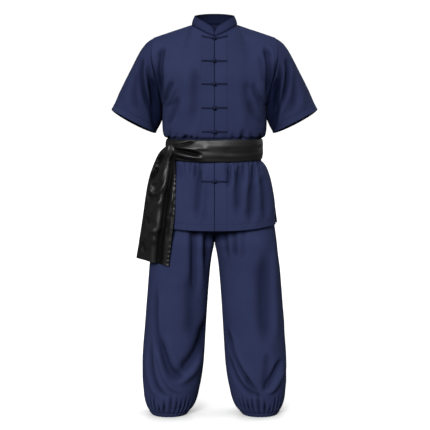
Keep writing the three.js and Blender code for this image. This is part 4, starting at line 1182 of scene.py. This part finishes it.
class UNIFORM_OT_collar(bpy.types.Operator):
    """Makes the stand collar"""

    bl_idname = "uniform.collar"
    bl_label = "Stand collar"
    height = {"front": 33.5, "back": 36}
    lean_in = 0.36
    corner_radius = 25
    corner_power = 2.4
    lowest_share = 0.14
    front_gap = 0.6
    tucked = 3

    def execute(self, context):
        closer_at_corner = np.concatenate([np.linspace(0, 0.35, 34), np.linspace(0.35, 1, 36)[1:]])
        front = neckline(closer_at_corner, NECK["front"])
        back = neckline(np.linspace(0, 1, 44)[:-1], NECK["back"])[::-1]
        left = np.concatenate([front, back])
        seats = np.concatenate([left, (left[:-1] * (-1, 1, 1))[::-1]])
        seats[0, 0], seats[-1, 0] = self.front_gap, -self.front_gap
        gone = np.concatenate([[0], np.cumsum(np.linalg.norm(np.diff(seats, axis=0), axis=-1))])
        near = np.minimum(gone, gone[-1] - gone)
        corner = 1 - np.clip(near / self.corner_radius, 0, 1)
        behind = rise(-40, 40, seats[:, 1])
        rounding = (1 - corner**self.corner_power) ** (1 / self.corner_power)
        rounding = np.maximum(self.lowest_share, rounding)
        tall = mix(self.height["front"], self.height["back"], behind) * rounding
        inward = [-seats[:, 0] / NECK_SIDE[0], seats[:, 1] / NECK["front"][1], 0 * near]
        lean = np.stack(inward, -1) * self.lean_in
        direction = lean + (0, 0, 1)
        direction /= np.linalg.norm(direction, axis=-1, keepdims=True)
        up = graded((0, 0), (0.08, 0.03), (0.9, 0.082), (1, 0.03))
        grid = seats + direction * (SEAM + up[:, None, None] * tall[:, None])
        tucked = seats - direction * self.tucked + lean * 2.5
        grid = np.concatenate([tucked[None], grid])
        up = np.concatenate([[0], up])
        from_top = (1 - up)[:, None] * tall
        from_seat = up[:, None] * tall
        stitched = bump(from_top - COLLAR_STITCH["high"], 1.1) + bump(from_seat - 3, 1.1)
        full = np.clip(tall / self.height["back"], 0, 1)
        bulge = 1.2 * np.sin(math.pi * np.clip(up, 0, 1))[:, None] * full
        out = bulge - 0.4 * stitched - 1.1 * bump(from_seat - 1, 2.2)
        out += 0.25 * np.sin(gone / 8.3)[None] * np.sin(math.pi * up)[:, None]
        points = pushed(grid, out)
        keep_surface("collar", points)
        # The whole collar a little darker, darker at its stitch lines, and darker along its seat, partly
        # seam and partly painted shade
        worn_and_shaded = np.clip(0.3 + 0.4 * stitched + 0.8 * bump(from_seat, 2.4), 0, 1)
        add_cloth("collar_cloth", points, worn_and_shaded=worn_and_shaded, nodes=["collar"])
        return {"FINISHED"}


class UNIFORM_OT_trousers(bpy.types.Operator):
    """Makes the trouser legs and their waistband"""

    bl_idname = "uniform.trousers"
    bl_label = "Trousers"
    # Distances round a leg from its seams are read off one middling girth
    girth = 560
    leg_columns = 225
    band_columns = 320
    band_gathers = 46
    band_stitch_h = (954, 967)

    def leg(self, name, side):
        """One leg, gathered at the ankle and turned in at its inseam."""
        heights = graded((CUFF_H + 0.5, 0), (60, 1.8), (100, 3), (700, 5.4), (900, 12), (LEG_TOP_H, 8))
        heights = heights[:, None]
        q = np.linspace(0, 1, self.leg_columns)
        grid = leg_section(heights, q)
        grid[:, 0, 1] = np.minimum(grid[:, 0, 1], -SEAM / 2)
        grid[:, -1, 1] = np.maximum(grid[:, -1, 1], SEAM / 2)
        x, h = side * grid[..., 0], grid[..., 2]
        seam_free = rise(0, 0.06, q) * (1 - rise(0.94, 1, q))
        deep = np.where(q <= 0.5, folds(TROUSER_FRONT_FOLDS, x, h), folds(TROUSER_BACK_FOLDS, x, h))
        shown = seam_free * (1 - rise(870, 905, h))
        out = ripple(x, h + 700 * (q > 0.5), 0.9) * shown * rise(60, 140, h) - deep * shown
        wave = gather_wave(q) ** 2
        uneven = 14 * np.sin(2 * math.pi * 9 * q) + 14 * np.sin(2 * math.pi * 5 * q + 1)
        fade = 1 - rise(36, 88, h - uneven)
        out += 1.5 * fade
        out -= cuff_gather(q) * wave * fade
        below_crotch = 1 - rise(CROTCH_H, CROTCH_H + 40, h)
        inseam = bump(np.minimum(q, 1 - q) * self.girth, 2.2) * below_crotch
        side_seam = bump((q - 0.5) * self.girth, 1.5)
        out -= 0.5 * inseam + 0.6 * side_seam
        # Worn seams, and painted shade in the ankle gathers and the folds
        worn_and_shaded = np.clip(0.6 * inseam + 0.6 * side_seam + 0.7 * wave * fade, 0, 1)
        worn_and_shaded = np.pad(np.clip(worn_and_shaded + painted_fold_shade(out), 0, 1), ((0, 0), (2, 2)), "edge")
        points = turned_edges(pushed(grid, out), side)
        points, worn_and_shaded = on_side(side, points, worn_and_shaded)
        add_cloth("trouser_leg_" + name + "_cloth", points, worn_and_shaded=worn_and_shaded, nodes=["trouser_leg_" + name])

    def waistband(self):
        """The gathered waistband, hidden under the jacket."""
        band_h = graded((WAISTBAND[0], 0), (WAISTBAND[1], 1.6))[:, None]
        q = np.linspace(0, 1, self.band_columns, endpoint=False)
        ring = body_ring(band_h, -2.4 - 0.9 * gather_wave(q, self.band_gathers), self.band_columns)
        stitched = sum(bump(band_h - line_h, 1.2) for line_h in self.band_stitch_h)
        band_out = 0 * ring[..., 0] - 0.5 * stitched
        add_cloth("waistband_cloth", pushed(ring, band_out, ring=True), ring=True, nodes=["waistband"])

    def execute(self, context):
        for name, side in SIDES.items():
            self.leg(name, side)
        self.waistband()
        return {"FINISHED"}


class UNIFORM_OT_cuffs(bpy.types.Operator):
    """Makes the elastic ankle cuffs"""

    bl_idname = "uniform.cuffs"
    bl_label = "Ankle cuffs"
    columns = 336
    small_gathers = 61

    def cuff(self, name, side):
        """One cuff, with its casing at the hem and its gathers over it."""
        heights = graded((0, 0), (4, 1), (CUFF_H, 1.6), (CUFF_H + 4, 2))[:, None]
        q = np.linspace(0, 1, self.columns, endpoint=False)
        grid = leg_section(heights, q)
        h = grid[..., 2]
        wave = gather_wave(q) ** 2
        fine = 0.5 - 0.5 * np.cos(2 * math.pi * self.small_gathers * (q + 0.002 * np.sin(40 * q)))
        tight = rise(CASING_H - 6, CUFF_H - 5, h)
        depth = mix(1.4, cuff_gather(q), tight)
        out = 2 - depth * wave - 0.6 * fine * rise(2, 10, h)
        out += 1.2 * bump(h - CASING_H / 2, 7) - 1.5 * bump(h - CASING_H, 1.8)
        out -= 4.5 * rise(CUFF_H - 0.5, CUFF_H + 2, h)
        # Darker along the casing's stitched crease, partly seam and partly painted shade, and painted
        # shade in the gathers
        worn_and_shaded = np.clip(0.7 * bump(h - CASING_H, 1.9) + (0.2 + 0.5 * tight) * wave, 0, 1)
        points = pushed(grid, out, ring=True)
        points[..., 2] = np.maximum(points[..., 2], 0)
        points, worn_and_shaded = on_side(side, points, worn_and_shaded)
        keep_surface("cuff_" + name, points, ring=True)
        add_cloth("cuff_" + name + "_cloth", points, ring=True, worn_and_shaded=worn_and_shaded, nodes=["cuff_" + name])

    def execute(self, context):
        for name, side in SIDES.items():
            self.cuff(name, side)
        return {"FINISHED"}


class UNIFORM_OT_sash(bpy.types.Operator):
    """Makes the sash round the waist and its hanging end"""

    bl_idname = "uniform.sash"
    bl_label = "Sash"
    wrap_columns = 360
    tail_columns = 88
    # Where the wrap is heaped up beside its tie: x, width and how far out
    heap = (-104, 56, 9)

    def wrap(self):
        """The sash round the waist, heaped up beside its tie."""
        h = graded((SASH_LOW_H, 0), (SASH_LOW_H + 4, 1), (SASH_HIGH_H - 4, 2.2), (SASH_HIGH_H, 1))
        h = h[:, None]
        ring = body_ring(h, sash_out(h), self.wrap_columns)
        x, y = ring[..., 0], ring[..., 1]
        share = (h - SASH_LOW_H) / (SASH_HIGH_H - SASH_LOW_H)
        aside = np.abs(x / 170)
        ring[..., 2] += 7 * aside**3 * (1 - share) ** 2 - 1.2 * (1 - aside) * (1 - share)
        ring_h = ring[..., 2]
        deep = np.where(y <= 0, folds(SASH_FOLDS, x, ring_h), folds(SASH_BACK_FOLDS, x, ring_h))
        side_fade = rise(0, 22, np.abs(y))
        rounded = 1.6 * (bump(share, 0.03) + bump(1 - share, 0.03))
        bands = 0.14 * np.sin(share * 27 + 1.5 * np.sin(x / 60)) * rise(-60, 0, x)
        arch = np.sin(math.pi * np.clip(share, 0, 1))
        heap_x, heap_width, heap_out = self.heap
        heaped = heap_out * bump(x - heap_x, heap_width) * (y < 0) * arch**0.5
        crown = 2.2 * arch + 6 * (1 - share) * bump(x + 28, 44) * (y < 0)
        out = floored(heaped + crown - deep * side_fade, -2.4, 0.8) + bands - rounded
        points = pushed(ring, out, ring=True)
        # Painted shade in the folds dims the satin's gloss
        add_cloth("sash_wrap_satin", points, "black_satin", ring=True, worn_and_shaded=painted_fold_shade(-deep, 5),
                  nodes=["sash_wrap"])

    def tail(self):
        """The hanging end, a flat strip whose folds fan out of the tie."""
        up = graded((0, 0), (0.03, 0.006), (0.97, 0.0065), (1, 0.005))[:, None]
        share = np.linspace(0, 1, self.tail_columns)
        h = mix(mix(*TAIL_BOTTOM, share), TAIL_TOP_H, up)
        x = mix(TAIL("left", h), TAIL("right", h), share)
        deep = folds(TAIL_FOLDS, x, h, rim=0)
        out = 7 - deep
        out += 0.8 * np.sin(h / 38 + 5 * share) * np.sin(h / 61 + 2)
        edge = np.minimum(share, 1 - share) * (TAIL("right", h) - TAIL("left", h))
        pucker = np.sin(h / 3.0 + 2.2 * np.sin(h / 23)) * (0.6 + 0.4 * np.sin(h / 41))
        out -= 4 * bump(edge, 8)
        out = floored(out, -0.5, 1.5) + 0.8 * pucker * bump(edge - 3, 4.5)
        out -= 0.6 * bump(edge - TAIL_STITCH["left"], 1.2)
        out *= 1 - 0.6 * rise(0.94, 1, up)
        sine, cosine = math.sin(TAIL_FACING), math.cos(TAIL_FACING)
        y = -(tail_plane(h) + 1.2 + out + x * sine) / cosine
        points = np.stack([x, y, h], -1)
        keep_surface("tail", points)
        # Painted shade in the folds dims the satin's gloss
        add_cloth("sash_tail_satin", points, "black_satin", worn_and_shaded=painted_fold_shade(-deep, 5), nodes=["sash_tail"])

    def execute(self, context):
        self.wrap()
        self.tail()
        return {"FINISHED"}


class UNIFORM_OT_sash_knot(bpy.types.Operator):
    """Makes the tie that the hanging end fans out of"""

    bl_idname = "uniform.sash_knot"
    bl_label = "Sash knot"

    def execute(self, context):
        x, h = KNOT_AT
        sine, cosine = math.sin(TAIL_FACING), math.cos(TAIL_FACING)
        along, away = np.array((cosine, -sine, 0)), np.array((-sine, -cosine, 0))
        seat = np.array((x, -(tail_plane(h) + x * sine) / cosine, h))
        bpy.ops.object.select_all(action="DESELECT")
        bpy.ops.mesh.primitive_uv_sphere_add(segments=96, ring_count=56, radius=1)
        knot = bpy.context.object
        knot.name = "sash_knot_satin"
        unit = np.array([v.co for v in knot.data.vertices])
        a, w, u = unit[:, 0], unit[:, 1], unit[:, 2]
        turn = np.arctan2(w, a)
        round_part = np.sqrt(np.clip(1 - u * u, 0, 1))
        pleats = 0.1 * np.cos(4 * turn + 1.4 * u + 0.4) + 0.03 * np.cos(9 * turn - 2 * u + 1)
        fuller = np.maximum(round_part, 0.001) ** -0.35
        girth = (1 + pleats * round_part**0.5) * fuller * (1 - 0.22 * rise(0.1, 1, u))
        girth = np.where(round_part > 0.02, girth, 1)
        tall = np.sign(u) * np.abs(u) ** 0.9
        offset = np.outer(a * girth, along) * KNOT_HALF[0] + np.outer(w * girth, away) * KNOT_HALF[1]
        offset += np.outer(tall, (0, 0, 1)) * KNOT_HALF[2] + np.outer(2.5 * u, along)
        centre = seat + away * 10
        knot.data.vertices.foreach_set("co", place(offset + centre).astype(np.float32).ravel())
        knot.data.uv_layers[0].name = "cut"
        knot.data.update()
        faced_outward(knot)
        smoothed(knot, 80)
        finish_piece(knot, material_for("black_satin"), ["sash_knot"])
        return {"FINISHED"}


def tube(name, path, radius, sides=10):
    """A round cord through points of a flat pattern (x, up, out), as a mesh with closed ends."""
    curve = bpy.data.curves.new(name, "CURVE")
    curve.dimensions = "3D"
    curve.bevel_depth = radius
    curve.bevel_resolution = max(1, sides // 2 - 2)
    curve.resolution_u = 4
    curve.use_fill_caps = True
    spline = curve.splines.new("NURBS")
    spline.points.add(len(path) - 1)
    spline.points.foreach_set("co", np.column_stack([path, np.ones(len(path))]).ravel())
    spline.order_u = 4
    spline.use_endpoint_u = True
    select_only(linked(name, curve))
    bpy.ops.object.convert(target="MESH")
    return bpy.context.object


def joined(name, parts):
    """Several objects made one."""
    bpy.ops.object.select_all(action="DESELECT")
    for part in parts:
        part.select_set(True)
    bpy.context.view_layer.objects.active = parts[0]
    bpy.ops.object.join()
    obj = bpy.context.object
    obj.name = name
    return obj


class UNIFORM_OT_frogs(bpy.types.Operator):
    """Makes one knotted frog and copies it down the front"""

    bl_idname = "uniform.frogs"
    bl_label = "Frogs"
    # The ball's turns of cord: half the distance between a pair, and the radii of a turn and of its cord
    turn_apart = 2.1
    turn_radius = 4.1
    turn_thickness = 1.95

    def turned_end(self, name, side):
        """The short bend that joins two strands at a frog's end."""
        bend = [(40, 1), (43.4, 1), (44.2, 0), (43.4, -1), (40, -1)]
        path = [(side * x, LOOP_APART * up, CORD_RADIUS) for x, up in bend]
        return tube(name, path, CORD_RADIUS)

    def knot_pattern(self):
        """The knotted half, flat: two strands that lead into a woven ball."""
        parts = []
        lift = CORD_RADIUS
        for up in (-LOOP_APART, LOOP_APART):
            path = [(-43, up, lift), (-37, up, lift), (-26, up, lift), (-14, up * 0.9, lift),
                    (-9, up * 0.75, lift + 3), (-4, up * 0.6, lift + 4.4), (0, up * 0.4, lift + 4)]
            parts.append(tube("frog_strand", path, CORD_RADIUS))
        parts.append(self.turned_end("frog_end", -1))
        bpy.ops.object.select_all(action="DESELECT")
        middle = (0.3, 0, KNOT_BALL + 0.6)
        for axis, tilt in ((0, 12), (1, -10), (2, 8)):
            for offset in (-self.turn_apart, self.turn_apart):
                at = list(middle)
                at[axis] += offset
                turn = [(0, math.pi / 2, 0), (math.pi / 2, 0, 0), (0, 0, 0)][axis]
                bpy.ops.mesh.primitive_torus_add(
                    major_segments=24, minor_segments=8, major_radius=self.turn_radius,
                    minor_radius=self.turn_thickness, location=at,
                    rotation=[r + math.radians(tilt) for r in turn])
                bpy.ops.object.transform_apply(location=True, rotation=True, scale=True)
                parts.append(bpy.context.object)
        return joined("frog_knot_pattern", parts)

    def loop_pattern(self):
        """The looped half, flat: one strand out, round the ball and back."""
        lift = CORD_RADIUS
        ring = [(LOOP_RING[0] * math.cos(a), LOOP_RING[1] * math.sin(a), lift)
                for a in np.radians((35, 60, 90, 120, 150, 180, 210, 240, 270, 300, 325))]
        path = [(x, LOOP_APART, lift) for x in (43, 34, 22, 13)]
        back = [(x, -up, out) for x, up, out in path[::-1]]
        strand = tube("frog_loop", path + ring + back, CORD_RADIUS)
        return joined("frog_loop_pattern", [strand, self.turned_end("frog_loop_end", 1)])

    def lay(self, pattern, number, height, part):
        """Copies a flat pattern on to the jacket's front at a height."""
        copy = linked("frog_%d_%s_cord" % (number, part), pattern.data.copy())
        flat = np.array([v.co for v in copy.data.vertices])
        x, up, out = flat[:, 0], flat[:, 1], flat[:, 2]
        lift = FROG_TOP_LIFT * (np.abs(x) / FROG_END) ** 1.5 if number == 1 else 0 * x
        sag = 0.5 * np.sin(x / 19 + number * 1.7) * rise(0, 20, np.abs(x))
        points = on_front(x, height + lift + sag + up, out + 0.15)
        copy.data.vertices.foreach_set("co", place(points).astype(np.float32).ravel())
        copy.data.update()
        faced_outward(copy)
        smoothed(copy, 60)
        finish_piece(copy, material_for("navy_cord"), ["frog_%d_%s" % (number, part)])

    def execute(self, context):
        knot, loop = self.knot_pattern(), self.loop_pattern()
        for number, height in enumerate(FROG_HEIGHTS, 1):
            self.lay(knot, number, height, "knot")
            self.lay(loop, number, height, "loop")
        for pattern in (knot, loop):
            bpy.data.objects.remove(pattern)
        return {"FINISHED"}


def inset(name, edge, distance, low=None, high=None):
    """A line at a distance from a kept surface's edge, with the way that the surface faces along it."""
    points, normals = SURFACES[name]
    if edge in ("low", "high"):
        points, normals = points.transpose(1, 0, 2), normals.transpose(1, 0, 2)
    if edge in ("high", "right"):
        points, normals = points[:, ::-1], normals[:, ::-1]
    run = np.cumsum(np.linalg.norm(np.diff(points, axis=1), axis=-1), 1)
    run = np.pad(run, ((0, 0), (1, 0)))
    kept = [k for k in range(len(points)) if run[k, -1] > 2 * distance]

    def read(grid):
        """The grid's vectors at the distance from the edge."""
        return np.array([[np.interp(distance, run[k], grid[k, :, axis]) for axis in range(3)]
                         for k in kept])

    line, facing = read(points), read(normals)
    shown = np.ones(len(line), bool)
    if low is not None:
        shown &= line[:, 2] >= low
    if high is not None:
        shown &= line[:, 2] <= high
    return line[shown], facing[shown]


def closed(line, facing):
    """A line that runs back to its start."""
    return np.concatenate([line, line[:1]]), np.concatenate([facing, facing[:1]])


class UNIFORM_OT_stitching(bpy.types.Operator):
    """Makes one stitch and sews its copies along the seams"""

    bl_idname = "uniform.stitching"
    bl_label = "Stitching"
    # Where the placket shows, under the sash and over it
    placket_runs = ((702, 908), (1008, 1338))

    def along(self, line, facing):
        """Where each stitch of a line lies, which way it runs and which way it faces."""
        run = np.concatenate([[0], np.cumsum(np.linalg.norm(np.diff(line, axis=0), axis=-1))])
        pitch = cut().stitch + cut().stitch_gap
        at = (np.arange(int(run[-1] / pitch)) + 0.5) * pitch

        def read(values, places):
            """The values at those distances along the line."""
            return np.stack([np.interp(places, run, values[:, axis]) for axis in range(3)], -1)

        ahead = read(line, at + 0.3 * pitch) - read(line, at - 0.3 * pitch)
        ahead /= np.maximum(np.linalg.norm(ahead, axis=-1, keepdims=True), 1e-6)
        up = read(facing, at)
        up -= ahead * (up * ahead).sum(-1, keepdims=True)
        up /= np.maximum(np.linalg.norm(up, axis=-1, keepdims=True), 1e-6)
        return read(line, at), ahead, up

    def sew(self, name, slot, lines):
        """Copies one stitch along all the lines, as one piece."""
        bpy.ops.object.select_all(action="DESELECT")
        bpy.ops.mesh.primitive_uv_sphere_add(segments=6, ring_count=4, radius=1)
        pattern = bpy.context.object
        shape = np.array([v.co for v in pattern.data.vertices])
        faces = [list(face.vertices) for face in pattern.data.polygons]
        bpy.data.objects.remove(pattern)
        placed = zip(*[self.along(*line) for line in lines])
        centres, ahead, up = (np.concatenate(part) for part in placed)
        radius = cut().thread
        points = (centres + 0.3 * radius * up)[:, None]
        points = points + shape[:, :1] * radius * up[:, None]
        points = points + shape[:, 1:2] * radius * np.cross(ahead, up)[:, None]
        points = points + shape[:, 2:] * cut().stitch / 2 * ahead[:, None]
        count = len(shape)
        copies = [[k * count + corner for corner in face] for k in range(len(centres)) for face in faces]
        mesh = bpy.data.meshes.new(name)
        mesh.from_pydata(place(points.reshape(-1, 3)).tolist(), [], copies)
        obj = linked(name, mesh)
        smoothed(obj, 80)
        finish_piece(obj, material_for(slot), [])

    def plackets(self):
        """The lines down both sides of the front opening, over and under the sash."""
        for side in (-1, 1):
            for low, high in self.placket_runs:
                h = np.linspace(low, high, round((high - low) / 2))
                x = np.full(h.shape, float(side * PLACKET))
                line = on_front(x, h, 0 * h)
                yield line, on_front(x, h, 1 + 0 * h) - line

    def execute(self, context):
        lines = list(self.plackets())
        lines += [inset(panel, "low", HEM_BAND) for panel in ("front_left", "front_right", "back")]
        lines += [inset(panel, edge, VENT_STITCH, high=VENT_TOP_H) for panel, edge in (
            ("front_left", "right"), ("front_right", "left"), ("back", "left"), ("back", "right"))]
        for side in SIDES:
            lines.append(closed(*inset("sleeve_" + side, "low", HEM_BAND)))
            lines.append(closed(*inset("cuff_" + side, "low", CASING_H)))
        lines += [inset("collar", edge, distance) for edge, distance in COLLAR_STITCH.items()]
        self.sew("navy_stitching", "navy_cloth", lines)
        hems = [inset("tail", edge, distance) for edge, distance in TAIL_STITCH.items()]
        self.sew("black_stitching", "black_satin", hems)
        return {"FINISHED"}


class UNIFORM_OT_stage(bpy.types.Operator):
    """Makes the pale floor, the soft lights and the camera"""

    bl_idname = "uniform.stage"
    bl_label = "Stage"

    def sun(self, name, azimuth, elevation, spread, strength):
        """A soft light from a direction, even over the whole stage."""
        data = bpy.data.lights.new(name, "SUN")
        data.energy = strength
        data.angle = math.radians(spread)
        side, high = math.radians(azimuth), math.radians(elevation)
        level = 3 * math.cos(high)
        at = (level * math.sin(side), -level * math.cos(side), 3 * math.sin(high))
        self.aim(linked(name, data), at, (0, 0, 0))

    def floor(self):
        """A wide pale floor that glows for the camera, with painted contact shadow where the cuffs touch
        it.
        """
        bpy.ops.object.select_all(action="DESELECT")
        bpy.ops.mesh.primitive_circle_add(vertices=128, radius=30, fill_type="NGON")
        floor = bpy.context.object
        floor.name = "studio_floor"
        floor.location.z = place((0, 0, 0))[2]
        bpy.ops.object.transform_apply(location=True, rotation=True, scale=True)
        material, tree = new_material("floor_finish")
        tree.nodes.remove(tree.nodes["Principled BSDF"])
        # Painted contact shadow: the floor's glow dims where the cuffs are near
        near = add_node(tree, "AmbientOcclusion", {"Distance": 0.16})
        painted_contact_shadow = add_node(tree, "MapRange", {"From Min": 0.45, "To Min": 0.3, "To Max": 0.8})
        glow = add_node(tree, "Emission", {"Color": (1, 1, 1, 1)})
        pale = add_node(tree, "BsdfDiffuse", {"Color": (*[0.5 * c for c in dye().floor], 1)})
        seen = add_node(tree, "AddShader")
        wire(tree, (near, "AO", painted_contact_shadow, "Value"), (painted_contact_shadow, "Result", glow, "Strength"),
             (pale, "BSDF", seen, 0), (glow, "Emission", seen, 1))
        bounce = add_node(tree, "BsdfDiffuse", {"Color": (*[0.12 * c for c in dye().floor], 1)})
        self.for_camera(tree, bounce.outputs["BSDF"], seen.outputs["Shader"], "Material Output")
        floor.data.materials.append(material)

    def for_camera(self, tree, light, seen, output):
        """Keeps the studio's pale surroundings from flooding the cloth with light."""
        path = add_node(tree, "LightPath")
        either = add_node(tree, "MixShader")
        wire(tree, (path, "Is Camera Ray", either, "Fac"),
             (either, "Shader", tree.nodes[output], "Surface"))
        tree.links.new(light, either.inputs[1])
        tree.links.new(seen, either.inputs[2])

    def surroundings(self, scene):
        """Light from all round, and white behind the uniform."""
        scene.world = bpy.data.worlds.new("studio")
        scene.world.use_nodes = True
        tree = scene.world.node_tree
        room = tree.nodes["Background"]
        room.inputs["Color"].default_value = (1, 1, 1, 1)
        room.inputs["Strength"].default_value = scene.uniform_light.room
        seen = add_node(tree, "Background", {"Color": (1, 1, 1, 1), "Strength": 1.05})
        self.for_camera(tree, room.outputs["Background"], seen.outputs["Background"], "World Output")

    def aim(self, obj, at, target):
        """Places a light or the camera and turns it to its target."""
        obj.location = at
        obj.rotation_euler = (Vector(target) - Vector(at)).to_track_quat("-Z", "Y").to_euler()

    def execute(self, context):
        scene = context.scene
        self.floor()
        for name, (azimuth, elevation, spread, setting, share) in SUNS.items():
            self.sun(name, azimuth, elevation, spread, share * getattr(scene.uniform_light, setting))
        self.surroundings(scene)
        camera = bpy.data.cameras.new("camera")
        camera.lens = CAMERA_LENS
        camera.sensor_width = 36
        camera.clip_end = 100
        scene.camera = linked("camera", camera)
        self.aim(scene.camera, CAMERA_AT, CAMERA_TARGET)
        scene.view_settings.view_transform = "Standard"
        return {"FINISHED"}


OPERATORS = (
    UNIFORM_OT_jacket_fronts,
    UNIFORM_OT_jacket_back,
    UNIFORM_OT_sleeves,
    UNIFORM_OT_collar,
    UNIFORM_OT_trousers,
    UNIFORM_OT_cuffs,
    UNIFORM_OT_sash,
    UNIFORM_OT_sash_knot,
    UNIFORM_OT_frogs,
    UNIFORM_OT_stitching,
    UNIFORM_OT_stage,
)


class UNIFORM_PT_panel(bpy.types.Panel):
    """Lists the uniform's settings and pieces"""

    bl_idname = "UNIFORM_PT_panel"
    bl_label = "Uniform"
    bl_space_type = "VIEW_3D"
    bl_region_type = "UI"
    bl_category = "Uniform"

    def draw(self, context):
        for group, _ in GROUPS:
            settings = getattr(context.scene, group)
            for name in settings.bl_rna.properties.keys():
                if name not in ("rna_type", "name"):
                    self.layout.prop(settings, name)
        for operator in OPERATORS:
            self.layout.operator(operator.bl_idname)


GROUPS = (("uniform_cut", Cut), ("uniform_dye", Dye), ("uniform_light", Light))


def register():
    """Registers the settings, the operators and the panel."""
    for name, group in GROUPS:
        bpy.utils.register_class(group)
        setattr(bpy.types.Scene, name, bpy.props.PointerProperty(type=group))
    for operator in OPERATORS:
        bpy.utils.register_class(operator)
    bpy.utils.register_class(UNIFORM_PT_panel)


def unregister():
    """Takes away all that register() added."""
    bpy.utils.unregister_class(UNIFORM_PT_panel)
    for operator in reversed(OPERATORS):
        bpy.utils.unregister_class(operator)
    for name, group in reversed(GROUPS):
        delattr(bpy.types.Scene, name)
        bpy.utils.unregister_class(group)


def main():
    """Builds the uniform and its stage."""
    register()
    for operator in OPERATORS:
        group, name = operator.bl_idname.split(".")
        getattr(getattr(bpy.ops, group), name)()


if __name__ == "__main__":
    main()
